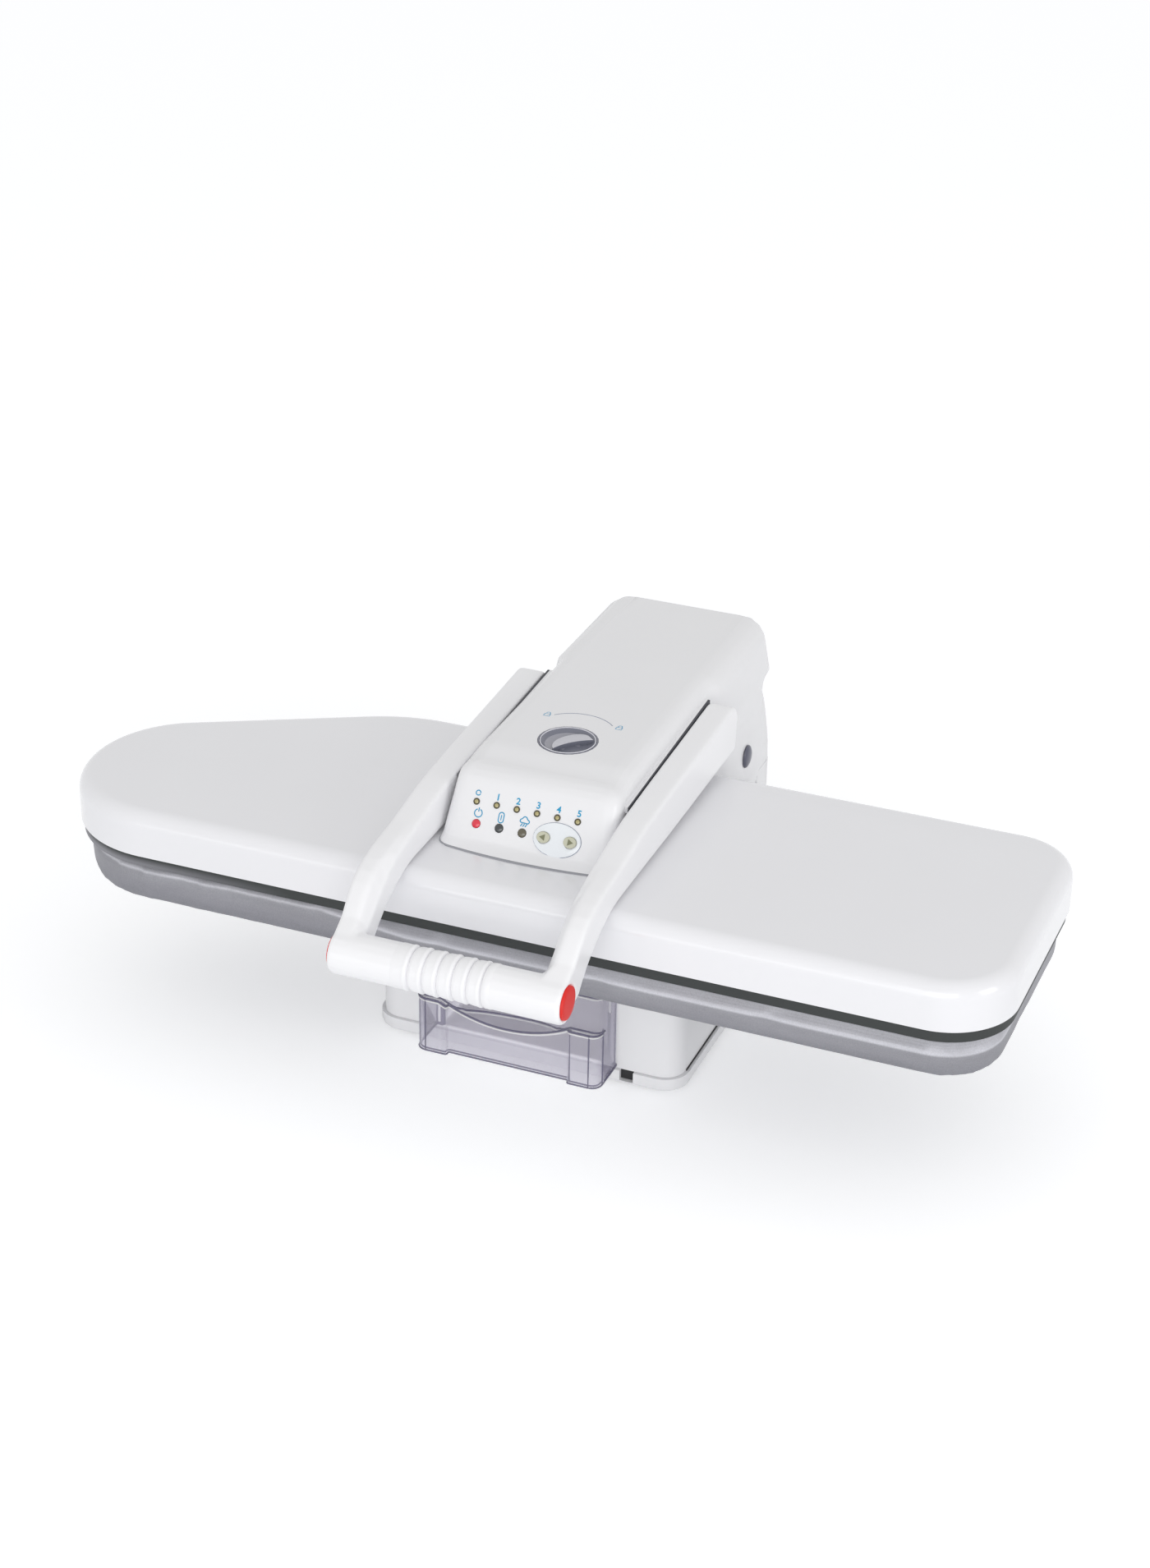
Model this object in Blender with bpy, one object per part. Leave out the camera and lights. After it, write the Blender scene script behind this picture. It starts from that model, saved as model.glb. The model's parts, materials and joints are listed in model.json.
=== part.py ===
"""Steam ironing press, closed and locked, standing on its feet.

Frame: +X runs along the pressing board to its square end, -Y faces the person who irons,
+Z is up. The origin is on the table under the middle of the object's box. Metres.
"""

import math

import bmesh
import bpy
from mathutils import Matrix, Vector

for old in list(bpy.data.objects):
    bpy.data.objects.remove(old, do_unlink=True)

# Clearances
GAP = 0.0003                   # between pieces that touch
RUNNING = 0.0010               # round things that slide or turn
OVERRUN = 0.0050               # how far a cutter runs past what it cuts

# Plate cover: the big white lid over the heating plate
COVER_LENGTH = 0.830
COVER_DEPTH = 0.271
COVER_HEIGHT = 0.040
COVER_WALL = 0.003
COVER_EDGE_RADIUS = 0.014
COVER_FRONT_CORNER = 0.060
COVER_BACK_CORNER = 0.052
COVER_NOSE_RADIUS = 0.095
COVER_BEND_RADIUS = 0.150
COVER_TAPER = math.radians(28.6)
COVER_OPENING_HALF = 0.048
COVER_OPENING_START = 0.086
COVER_OPENING_RUN = 0.146

# Heating plate and what is on it, all under the cover
PLATE_DROP = 0.0107            # how far it hangs below the cover's edge
PLATE_THICKNESS = 0.005
PLATE_INSET = 0.012
PLATE_EDGE_RADIUS = 0.003
STEAM_HOLE_RADIUS = 0.0016
STEAM_HOLE_PITCH = 0.030
STEAM_HOLE_ROW_PITCH = 0.036
STEAM_HOLE_COLUMNS = 7
STEAM_HOLE_ROWS = 4
FRAME_RING_INSET = 0.0062      # dark heat-proof frame around the plate
FRAME_RING_DROP = 0.0080
FRAME_RING_LIFT = 0.0090
FRAME_RING_STEP = 0.0010
CHAMBER_HALF = 0.075
CHAMBER_START = 0.090
CHAMBER_BACK = 0.056           # from the cover's rear edge
CHAMBER_HEIGHT = 0.022
CHAMBER_CORNER = 0.012
ELEMENT_RADIUS = 0.0034
ELEMENT_INSET = 0.045
ELEMENT_TAIL = 0.018
THERMOSTAT_RADIUS = 0.010
THERMOSTAT_HEIGHT = 0.009
NIPPLE_RADIUS = 0.0045
NIPPLE_LENGTH = 0.012

# Ironing board: pan, foam and silvered cover
PAD_HEIGHT = 0.036
PAD_INSET = 0.0070
PAD_EDGE_RADIUS = 0.0150
PAD_SKIN = 0.0018
PAD_FOOT_RADIUS = 0.0035
PAD_DRAW_IN = 0.0014           # how far the sides pull in between their edges
PAD_HEM = 0.018
FOAM_THICKNESS = 0.010
PAN_SHEET = 0.0012
PAN_INSET = 0.0035             # from the skin's inside to the pan's rim
PAN_RIM = 0.0195
POST_RADIUS = 0.009
POST_FLANGE_RADIUS = 0.014
POST_FLANGE = 0.0020
POST_SIDE = 0.095
POST_FRONT = 0.110
POST_BACK_MARGIN = 0.049       # from the cover's rear edge

# Base: shell, tray and feet
BASE_FRONT = 0.0730            # behind the cover's front edge
BASE_BACK = 0.4240
BASE_HALF = 0.1365
BASE_CORNER = 0.019
BASE_WALL = 0.0025
BASE_TOP_RADIUS = 0.004
SHELL_HEIGHT = 0.1004
TRAY_HEIGHT = 0.012
TRAY_LIP = 0.0030
TRAY_FLOOR = 0.0025
TRAY_EDGE_RADIUS = 0.0030
TRAY_NOTCH_SIDE = 0.0880
TRAY_NOTCH_WIDTH = 0.0090
VENT_LENGTH = 0.030
VENT_WIDTH = 0.0050
VENT_PITCH = 0.016
VENT_COUNT = 6
FOOT_HEIGHT = 0.0030
FOOT_RADIUS = 0.0110
FOOT_PLUG_RADIUS = 0.0040
FOOT_INSET = 0.034

# Water tank and its bay
BAY_HALF = 0.0810
BAY_WALL = 0.0020
BAY_DEPTH = 0.140
BAY_HEIGHT = 0.0904
TANK_HALF = 0.0760
TANK_WALL = 0.0022
TANK_HEIGHT = 0.0830
TANK_LENGTH = 0.128            # the part inside the bay
TANK_FRONT_HALF = 0.0820
TANK_FRONT_REACH = 0.0420      # ahead of the base's front
TANK_FRONT_CORNER = 0.0090
TANK_FRONT_HOLLOW = 0.0045     # how far the middle of its front is drawn in
TANK_LIP_HEIGHT = 0.0500
TANK_SCOOP_DEPTH = 0.0150
TANK_SCOOP_SET_BACK = 0.0220
TANK_UPPER_SET_BACK = 0.0060
TANK_LIP_SLOPE = 0.0050
VALVE_RADIUS = 0.0060
VALVE_HEIGHT = 0.0120          # above the tank's underside
VALVE_LENGTH = 0.0140
VALVE_SEAL_RADIUS = 0.0088
VALVE_SEAL = 0.0018
SOCKET_RADIUS = 0.0105
SOCKET_LENGTH = 0.0200
SOCKET_WALL = 0.0025

# Hinge, its column and the rear housing
HINGE_BACK = 0.371             # behind the cover's front edge
HINGE_UP = 0.005               # above the cover's lower edge
SHAFT_RADIUS = 0.008
COLUMN_HALF = 0.070
COLUMN_PLATE = 0.004
COLUMN_DEPTH = 0.074
COLUMN_HEAD_RADIUS = 0.020
COLUMN_FLANGE = 0.016
BUSH_RADIUS = 0.0110
BUSH_FLANGE_RADIUS = 0.0140
BUSH_FLANGE = 0.0015
BRACE_HEIGHT = 0.030
BRACE_THICKNESS = 0.003
HOUSING_HALF = 0.0800
HOUSING_WALL = 0.0025
HOUSING_REACH = 0.0920
HOUSING_FRONT_REACH = 0.0470
HOUSING_TOP = 0.0620           # from the hinge up to its top
HOUSING_REAR_RADIUS = 0.0500
HOUSING_FRONT_RADIUS = 0.0360
HOUSING_CORNER = 0.0100
HOUSING_TAIL_UP = 0.030         # from the tray to the hanging tail behind the base
HOUSING_SLOT_HALF = 0.038
HOUSING_SLOT_BACK = 0.022
HOUSING_SLOT_DROP = 0.026
SPRING_WIRE = 0.0015
SPRING_TURNS = 5
SPRING_PITCH = 0.0036
WELL_HALF = 0.073
WELL_FRONT = 0.052
WELL_BACK = 0.060

# Arm: casing, frame, hinge caps
CASING_HEIGHT = 0.0610         # above the cover's top, at the knob
CASING_SLOPE_SHARE = 0.0125    # rise of its top towards the rear
CASING_WALL = 0.0025
CASING_TOP_RADIUS = 0.0160
CASING_FOOT_HALF = 0.0740
CASING_TOP_HALF = 0.0710
CASING_CORNER = 0.0120
CASING_REAR_CORNER = 0.0190
CASING_HINGE_HALF = 0.0860
CASING_WAIST_HALF = 0.0820
CASING_WAIST_UP = 0.0230       # above the cover's top
CASING_SHOULDER_HALF = 0.0778
CASING_REAR = 0.4530
CASING_REAR_EDGE = 0.0060
SHOULDER_START = 0.3030
SHOULDER_RUN = 0.0200
SIDE_START = 0.2790            # front edge of the side walls behind the cover
SIDE_DROP = 0.0450             # from the hinge down to their lower edge
SIDE_BACK = 0.0440             # from the hinge back to their rear edge
SIDE_CORNER = 0.0320
SKIRT_UP = 0.0550              # from the hinge up to the rear wall's lower edge
SKIRT_CORNER = 0.0160
PANEL_START = 0.0590
PANEL_RUN = 0.0340
PANEL_RISE = 0.0560
CAP_RADIUS = 0.0106
CAP_PLUG_RADIUS = 0.0086
CAP_HEIGHT = 0.0034
BEAM_HALF = 0.0320
BEAM_SHEET = 0.0030
BEAM_START = 0.0980
BEAM_HEIGHT = 0.0290
BEAM_LIFT = 0.0026             # above the cover's top
BEAM_KNEE = 0.2860
BEAM_EAR_RADIUS = 0.0160
BEAM_POST_RADIUS = 0.0050
BEAM_POST_MARGIN = 0.0200      # from the chamber's ends

# Lock knob, its cup, cam and bolt
KNOB_BACK = 0.157              # behind the cover's front edge
KNOB_RADIUS = 0.0236
KNOB_RIM = 0.0012
KNOB_DISH = 0.0050
KNOB_RIDGE_HALF = 0.0215
KNOB_RIDGE_WIDTH = 0.0130
KNOB_TURN = math.radians(50)   # which way its ridge points at rest
CUP_RADIUS = 0.0252
CUP_WALL = 0.0010
CUP_DEPTH = 0.0120
CUP_FLOOR = 0.0016
SPINDLE_RADIUS = 0.0040
CAM_RADIUS = 0.0130
CAM_THICKNESS = 0.0030
BOLT_HALF = 0.0080
BOLT_THICKNESS = 0.0030
BOLT_START = 0.1640
BOLT_LENGTH = 0.1000
GUIDE_BACK = 0.2350
GUIDE_LENGTH = 0.0140
GUIDE_SHEET = 0.0015

# Control panel, in its own plane: across, and up from its lower edge
LED_COUNT = 6
LED_FIRST = -0.0474
LED_PITCH = 0.0177
LED_UP = 0.0371
LED_RADIUS = 0.0018
LED_PROUD = 0.0009
BEZEL_RADIUS = 0.0030
LAMP_FIRST = -0.0439
LAMP_PITCH = 0.0202
LAMP_UP = 0.0193
LAMP_RADIUS = 0.0036
LAMP_PROUD = 0.0011
OVAL_ACROSS = 0.0272
OVAL_UP = 0.0194
OVAL_HALF_LENGTH = 0.0205
OVAL_HALF_HEIGHT = 0.0138
OVAL_THICKNESS = 0.0012
BUTTON_RADIUS = 0.0052
BUTTON_SPACING = 0.0232
BUTTON_THICKNESS = 0.0016
BUTTON_TRAVEL = 0.0010
BUTTON_STEM_RADIUS = 0.0022
BOARD_DEPTH = 0.0090
BOARD_SHEET = 0.0016
BOARD_HALF = 0.0520
BOARD_LOW = 0.0100
BOARD_HIGH = 0.0450
SWITCH_HALF = 0.0030
SWITCH_HEIGHT = 0.0008

# Handle: two arms, a rod, a ribbed grip and two end discs
HANDLE_HALF = 0.1000
HANDLE_WIDTH = 0.0240
BAR_AHEAD = 0.0850             # ahead of the cover's front edge
BAR_DROP = 0.0316              # below the cover's top
HANDLE_REACH = 0.3860
HANDLE_RISE = 0.0846
HANDLE_BOSS_RADIUS = 0.0180
HANDLE_EDGE = 0.0038
HANDLE_CHEEK = 0.0080          # width of the slope on the arms' inner side, above the bar
HANDLE_END_RADIUS = 0.0120
GRIP_RADIUS = 0.0180
GRIP_RIB_RADIUS = 0.0184
GRIP_GROOVE_RADIUS = 0.0164
GRIP_RIBS = 6
GRIP_RIB_PITCH = 0.0124
GRIP_END_CHAMFER = 0.0010
ROD_RADIUS = 0.0060
DISC_RADIUS = 0.0140
DISC_DEPTH = 0.0030
DISC_PROUD = 0.0008
PIVOT_BACK = 0.0180            # from the handle's rear end to its pivot
PIVOT_DROP = 0.0220            # from the handle's top to its pivot
PIVOT_RADIUS = 0.0050
PIVOT_DEPTH = 0.0120           # how far the pin reaches into the handle arm
PIVOT_HEAD_RADIUS = 0.0080
PIVOT_HEAD = 0.0025

# Pump, hoses, power board and cord gland in the base
PUMP_RADIUS = 0.0160
PUMP_LENGTH = 0.0600
PUMP_MARGIN = 0.0345            # from its axis to the base's side
PUMP_START = 0.2730
PUMP_NECK_RADIUS = 0.0060
PUMP_NECK = 0.0120
CRADLE_LENGTH = 0.0100
CRADLE_HALF = 0.0200
CRADLE_RISE = 0.0060
CRADLE_SHARES = (0.15, 0.70)
HOSE_RADIUS = 0.0035
POWER_BOARD_MARGIN = 0.0505     # from its inner edge to the base's side
POWER_BOARD_WIDTH = 0.0380
POWER_BOARD_START = 0.2300
POWER_BOARD_LENGTH = 0.0800
POWER_POST_RADIUS = 0.0030
POWER_POST_HEIGHT = 0.0080
RELAY_HEIGHT = 0.0160
RELAY_MARGIN = 0.0080
GLAND_MARGIN = 0.0315          # from the base's side
GLAND_UP = 0.0300
GLAND_RADIUS = 0.0085
GLAND_FLANGE_RADIUS = 0.0115
GLAND_FLANGE = 0.0030
GLAND_BORE = 0.0042

# How finely round shapes are cut
CORNER_STEPS = 6
NOSE_STEPS = 12
BEND_STEPS = 4
EDGE_STEPS = 4
ROUND_STEPS = 16
KNOB_STEPS = 24
SMALL_STEPS = 10
CURVE_STEPS = 3

# Heights and depths that follow from the sizes above
tray_top = FOOT_HEIGHT + TRAY_HEIGHT
tray_floor = FOOT_HEIGHT + TRAY_FLOOR
shell_low = tray_top + GAP
shell_top = shell_low + SHELL_HEIGHT
pad_low = shell_top + GAP
pad_top = pad_low + PAD_HEIGHT
plate_low = pad_top + GAP
cover_low = plate_low + PLATE_DROP
cover_top = cover_low + COVER_HEIGHT
hinge_z = cover_low + HINGE_UP
plate_top = plate_low + PLATE_THICKNESS
chamber_top = plate_top + GAP + CHAMBER_HEIGHT
casing_low = cover_top + GAP
casing_top = cover_top + CASING_HEIGHT
beam_low = cover_top + BEAM_LIFT
beam_top = beam_low + BEAM_HEIGHT
FRONT = (BAR_AHEAD + GRIP_RIB_RADIUS - HINGE_BACK - HOUSING_REACH) / 2
hinge_y = FRONT + HINGE_BACK
bar_y = FRONT - BAR_AHEAD
bar_z = cover_top - BAR_DROP
knob_y = FRONT + KNOB_BACK
hinge_axis = Vector((0, hinge_y, hinge_z))
pump_side = BASE_HALF - PUMP_MARGIN
board_side = BASE_HALF - POWER_BOARD_MARGIN
gland_side = BASE_HALF - GLAND_MARGIN
post_back = COVER_DEPTH - POST_BACK_MARGIN
chamber_run = COVER_DEPTH - CHAMBER_START - CHAMBER_BACK


def linear(code):
    """Turn an sRGB hex colour into the linear values that a shader takes."""
    parts = [int(code[i:i + 2], 16) / 255 for i in (0, 2, 4)]
    return [p / 12.92 if p <= 0.04045 else ((p + 0.055) / 1.055) ** 2.4 for p in parts]


def make_material(name, code, roughness, metallic=0.0, alpha=1.0, transmission=0.0):
    made = bpy.data.materials.new(name)
    made.use_nodes = True
    shader = made.node_tree.nodes["Principled BSDF"]
    shader.inputs["Base Color"].default_value = (*linear(code), 1)
    shader.inputs["Roughness"].default_value = roughness
    shader.inputs["Metallic"].default_value = metallic
    shader.inputs["Alpha"].default_value = alpha
    shader.inputs["Transmission Weight"].default_value = transmission
    made.diffuse_color = (*linear(code), alpha)
    return made


white_plastic = make_material("white_plastic", "F1F1F3", 0.25)
cover_white = make_material("cover_white", "ECECEE", 0.22)
grey_plastic = make_material("grey_plastic", "7C7D8C", 0.35)
dark_plastic = make_material("dark_plastic", "3A3D40", 0.5)
red_plastic = make_material("red_plastic", "E8382C", 0.3)
button_plastic = make_material("button_plastic", "C4C4A0", 0.45)
clear_plastic = make_material("clear_plastic", "C9C6D2", 0.08, 0.0, 0.35, 0.9)
silver_fabric = make_material("silver_fabric", "B4B5BA", 0.5, 0.3)
foam_white = make_material("foam_white", "E4E0D4", 0.95)
aluminium = make_material("aluminium", "C2C4C8", 0.3, 1.0)
steel = make_material("steel", "9A9CA0", 0.35, 1.0)
zinc_steel = make_material("zinc_steel", "B3B4B2", 0.4, 1.0)
brass = make_material("brass", "B89A5A", 0.35, 1.0)
rubber = make_material("rubber", "2B2B2D", 0.85)
hose_silicone = make_material("hose_silicone", "D9DCD8", 0.4)
board_green = make_material("board_green", "2F6B45", 0.5)
lens_red = make_material("lens_red", "E0203C", 0.15)
lens_dark = make_material("lens_dark", "3E4142", 0.2)
lens_olive = make_material("lens_olive", "5A5440", 0.2)
lens_amber = make_material("lens_amber", "9A8F63", 0.2)

# Empties stand on the joint axes and carry the pieces that move with them
def make_pivot(name, place, parent=None):
    pivot = bpy.data.objects.new(name, None)
    bpy.context.collection.objects.link(pivot)
    pivot.location = Vector(place) - (parent.matrix_world.translation if parent else Vector())
    pivot.parent = parent
    bpy.context.view_layer.update()
    return pivot


def add_mesh(name, work, look, pivot=None, origin=None):
    """Make an object of a bmesh in world places, with its origin on its pivot or at its middle."""
    bmesh.ops.recalc_face_normals(work, faces=work.faces)
    if origin is None:
        if pivot:
            origin = pivot.matrix_world.translation.copy()
        else:
            lows = [min(v.co[i] for v in work.verts) for i in range(3)]
            highs = [max(v.co[i] for v in work.verts) for i in range(3)]
            origin = (Vector(lows) + Vector(highs)) / 2
    bmesh.ops.translate(work, verts=work.verts, vec=-Vector(origin))
    mesh = bpy.data.meshes.new(name)
    work.to_mesh(mesh)
    work.free()
    mesh.materials.append(look)
    mesh.shade_smooth()
    mesh.set_sharp_from_angle(angle=math.radians(35))
    made = bpy.data.objects.new(name, mesh)
    bpy.context.collection.objects.link(made)
    made.parent = pivot
    made.location = Vector(origin) - (pivot.matrix_world.translation if pivot else Vector())
    bpy.context.view_layer.update()
    return made


def add_loft(work, rings, closed=False):
    """Bridge rings of equal count; cap both ends, or close the last ring onto the first."""
    rows = [[work.verts.new(p) for p in ring] for ring in rings]
    pairs = list(zip(rows, rows[1:]))
    if closed:
        pairs.append((rows[-1], rows[0]))
    else:
        work.faces.new(list(reversed(rows[0])))
        work.faces.new(rows[-1])
    for low, high in pairs:
        count = len(low)
        for i in range(count):
            j = (i + 1) % count
            work.faces.new((low[i], low[j], high[j], high[i]))


def loft(name, rings, look, pivot=None, closed=False):
    work = bmesh.new()
    add_loft(work, rings, closed)
    return add_mesh(name, work, look, pivot)


def slab_rings(outline, axis, low, high):
    """Two rings that carry a flat outline from low to high along X, Y or Z."""
    order = {"X": lambda a, b, c: (c, a, b), "Y": lambda a, b, c: (a, c, b), "Z": lambda a, b, c: (a, b, c)}
    return [[order[axis](a, b, level) for a, b in outline] for level in (low, high)]


def slab(name, outline, axis, low, high, look, pivot=None):
    return loft(name, slab_rings(outline, axis, low, high), look, pivot)


def box_rings(low, high):
    outline = [(low[0], low[1]), (high[0], low[1]), (high[0], high[1]), (low[0], high[1])]
    return slab_rings(outline, "Z", low[2], high[2])


def box(name, low, high, look, pivot=None):
    return loft(name, box_rings(low, high), look, pivot)


def add_turned(work, profile, frame, steps=ROUND_STEPS, closed=False):
    """Spin (along, radius) points about the Z axis of frame; a zero radius is a pole."""
    rows = []
    for along, radius in profile:
        if radius == 0:
            rows.append([work.verts.new(frame @ Vector((0, 0, along)))])
            continue
        row = []
        for i in range(steps):
            turn = 2 * math.pi * i / steps
            row.append(work.verts.new(frame @ Vector((radius * math.cos(turn), radius * math.sin(turn), along))))
        rows.append(row)
    pairs = list(zip(rows, rows[1:]))
    if closed:
        pairs.append((rows[-1], rows[0]))
    for low, high in pairs:
        for i in range(steps):
            j = (i + 1) % steps
            if len(low) == 1:
                work.faces.new((low[0], high[j], high[i]))
            elif len(high) == 1:
                work.faces.new((low[i], low[j], high[0]))
            else:
                work.faces.new((low[i], low[j], high[j], high[i]))


def turned(name, profile, frame, look, pivot=None, steps=ROUND_STEPS, closed=False):
    work = bmesh.new()
    add_turned(work, profile, frame, steps, closed)
    return add_mesh(name, work, look, pivot)


def rod_profile(low, high, radius):
    return [(low, 0), (low, radius), (high, radius), (high, 0)]


def frame_at(place, along, across=(1, 0, 0)):
    """A frame at place whose Z runs along a direction and whose X lies near across."""
    z_axis = Vector(along).normalized()
    y_axis = z_axis.cross(Vector(across)).normalized()
    x_axis = y_axis.cross(z_axis)
    turned_frame = Matrix((x_axis, y_axis, z_axis)).transposed().to_4x4()
    return Matrix.Translation(Vector(place)) @ turned_frame


def along_x(y, z, x=0.0):
    return frame_at((x, y, z), (1, 0, 0), (0, 1, 0))


def along_y(x, z, y=0.0):
    return frame_at((x, y, z), (0, 1, 0))


def arc(centre_x, centre_y, radius, start, end, steps):
    """Points of a flat arc, with both ends; angles in degrees."""
    turns = [math.radians(start + (end - start) * i / steps) for i in range(steps + 1)]
    return [(centre_x + radius * math.cos(t), centre_y + radius * math.sin(t)) for t in turns]


def rounded_box(low_x, low_y, high_x, high_y, radius, steps=CORNER_STEPS):
    points = arc(high_x - radius, low_y + radius, radius, -90, 0, steps)
    points += arc(high_x - radius, high_y - radius, radius, 0, 90, steps)
    points += arc(low_x + radius, high_y - radius, radius, 90, 180, steps)
    return points + arc(low_x + radius, low_y + radius, radius, 180, 270, steps)


def smooth_line(points, steps=CURVE_STEPS):
    """A smooth curve through a few points, as a polyline."""
    made = []
    last = len(points) - 1
    for i in range(last):
        before, start, end, after = (Vector(points[max(i - 1, 0)]), Vector(points[i]),
                                     Vector(points[i + 1]), Vector(points[min(i + 2, last)]))
        for k in range(steps):
            t = k / steps
            spot = start * 2 + (end - before) * t
            spot += (before * 2 - start * 5 + end * 4 - after) * t ** 2
            spot += (start * 3 - before - end * 3 + after) * t ** 3
            made.append(tuple(spot / 2))
    made.append(tuple(points[last]))
    return made


def rounding(radius, steps=EDGE_STEPS, start=0.0):
    """Inset and rise of each step round an edge, from its side to its top."""
    turns = [start + (math.pi / 2 - start) * i / steps for i in range(steps + 1)]
    return [(radius * (1 - math.cos(t)), radius * math.sin(t)) for t in turns]


def make_cutter(name, work):
    """A hidden wire object that only cuts, joins or keeps."""
    bmesh.ops.recalc_face_normals(work, faces=work.faces)
    mesh = bpy.data.meshes.new(name)
    work.to_mesh(mesh)
    work.free()
    made = bpy.data.objects.new(name, mesh)
    bpy.context.collection.objects.link(made)
    made.hide_render = True
    made.display_type = "WIRE"
    return made


def shape_with(piece, work, operation="DIFFERENCE"):
    """Give a piece a Boolean with the bodies in a bmesh."""
    name = "{}_{}_{}".format(operation.lower(), piece.name, len(piece.modifiers))
    change = piece.modifiers.new(name, "BOOLEAN")
    change.operation = operation
    change.object = make_cutter(name, work)


def round_edges(piece, width, steps=2, angle=50):
    change = piece.modifiers.new("rounded_edges", "BEVEL")
    change.width = width
    change.segments = steps
    change.limit_method = "ANGLE"
    change.angle_limit = math.radians(angle)


def add_tube(name, points, radius, look, pivot=None, fineness=1):
    """A hose, wire or rod along points, as a curve with filled caps."""
    curve = bpy.data.curves.new(name, "CURVE")
    curve.dimensions = "3D"
    curve.bevel_depth = radius
    curve.bevel_resolution = fineness
    curve.use_fill_caps = True
    origin = pivot.matrix_world.translation if pivot else Vector(points[0])
    line = curve.splines.new("POLY")
    line.points.add(len(points) - 1)
    for spot, point in zip(line.points, points):
        spot.co = (*(Vector(point) - origin), 1)
    curve.materials.append(look)
    made = bpy.data.objects.new(name, curve)
    bpy.context.collection.objects.link(made)
    made.parent = pivot
    if not pivot:
        made.location = origin
    bpy.context.view_layer.update()
    return made


def board_outline(inset):
    """Footprint of the cover, drawn in by inset: square end at +X, tapered nose at -X."""
    half = COVER_LENGTH / 2
    nose_x = -half + COVER_NOSE_RADIUS
    sine, cosine = math.sin(COVER_TAPER), math.cos(COVER_TAPER)
    bend_y = COVER_DEPTH - COVER_BEND_RADIUS
    reach = cosine * (bend_y - COVER_NOSE_RADIUS) + COVER_BEND_RADIUS - COVER_NOSE_RADIUS
    bend_x = nose_x + reach / sine
    taper = math.degrees(COVER_TAPER)
    points = arc(half - COVER_FRONT_CORNER, COVER_FRONT_CORNER, COVER_FRONT_CORNER - inset, -90, 0, CORNER_STEPS)
    points += arc(half - COVER_BACK_CORNER, COVER_DEPTH - COVER_BACK_CORNER, COVER_BACK_CORNER - inset, 0, 90,
                  CORNER_STEPS)
    points += arc(bend_x, bend_y, COVER_BEND_RADIUS - inset, 90, 90 + taper, BEND_STEPS)
    points += arc(nose_x, COVER_NOSE_RADIUS, COVER_NOSE_RADIUS - inset, 90 + taper, 270, NOSE_STEPS)
    return points


def board_ring(inset, level):
    return [(x, FRONT + y, level) for x, y in board_outline(inset)]


def ring_at(outline, level):
    return [(x, y, level) for x, y in outline]


arm_pivot = make_pivot("arm_pivot", hinge_axis)

# Plate cover: one moulded lid, open below, with an opening under the arm
inner_radius = COVER_EDGE_RADIUS - COVER_WALL
inner_top = cover_top - COVER_WALL
cover_rings = [board_ring(COVER_WALL + inset, inner_top - inner_radius + rise)
               for inset, rise in reversed(rounding(inner_radius))]
cover_rings += [board_ring(COVER_WALL, cover_low), board_ring(0, cover_low)]
cover_rings += [board_ring(inset, cover_top - COVER_EDGE_RADIUS + rise)
                for inset, rise in rounding(COVER_EDGE_RADIUS, EDGE_STEPS + 1)]
plate_cover = loft("plate_cover", cover_rings, cover_white, arm_pivot)
hatch = bmesh.new()
hatch_start = FRONT + COVER_OPENING_START
add_loft(hatch, box_rings((-COVER_OPENING_HALF, hatch_start, inner_top - OVERRUN),
                          (COVER_OPENING_HALF, hatch_start + COVER_OPENING_RUN, cover_top + OVERRUN)))
shape_with(plate_cover, hatch)

# Heating plate with rows of steam holes
plate_rings = [board_ring(PLATE_INSET + inset, plate_low + PLATE_EDGE_RADIUS - rise)
               for inset, rise in reversed(rounding(PLATE_EDGE_RADIUS, 2))]
plate_rings.append(board_ring(PLATE_INSET, plate_top))
heating_plate = loft("heating_plate", plate_rings, aluminium, arm_pivot)
chamber_middle = CHAMBER_START + chamber_run / 2
holes = bmesh.new()
for row in range(STEAM_HOLE_ROWS):
    for column in range(STEAM_HOLE_COLUMNS):
        across = (column - (STEAM_HOLE_COLUMNS - 1) / 2) * STEAM_HOLE_PITCH
        back = (row - (STEAM_HOLE_ROWS - 1) / 2) * STEAM_HOLE_ROW_PITCH
        spot = frame_at((across, FRONT + chamber_middle + back, plate_low), (0, 0, 1))
        add_turned(holes, rod_profile(-OVERRUN, PLATE_THICKNESS + OVERRUN, STEAM_HOLE_RADIUS), spot, 6)
shape_with(heating_plate, holes)

# Heat-proof frame: the dark line between cover and board
ring_seat = COVER_WALL + GAP
frame_rings = [board_ring(FRAME_RING_INSET, cover_low - FRAME_RING_DROP),
               board_ring(FRAME_RING_INSET, cover_low + FRAME_RING_STEP),
               board_ring(ring_seat, cover_low + FRAME_RING_STEP),
               board_ring(ring_seat, cover_low + FRAME_RING_LIFT),
               board_ring(PLATE_INSET - GAP, cover_low + FRAME_RING_LIFT),
               board_ring(PLATE_INSET - GAP, cover_low - FRAME_RING_DROP)]
loft("edge_frame", frame_rings, dark_plastic, arm_pivot, closed=True)

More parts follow.
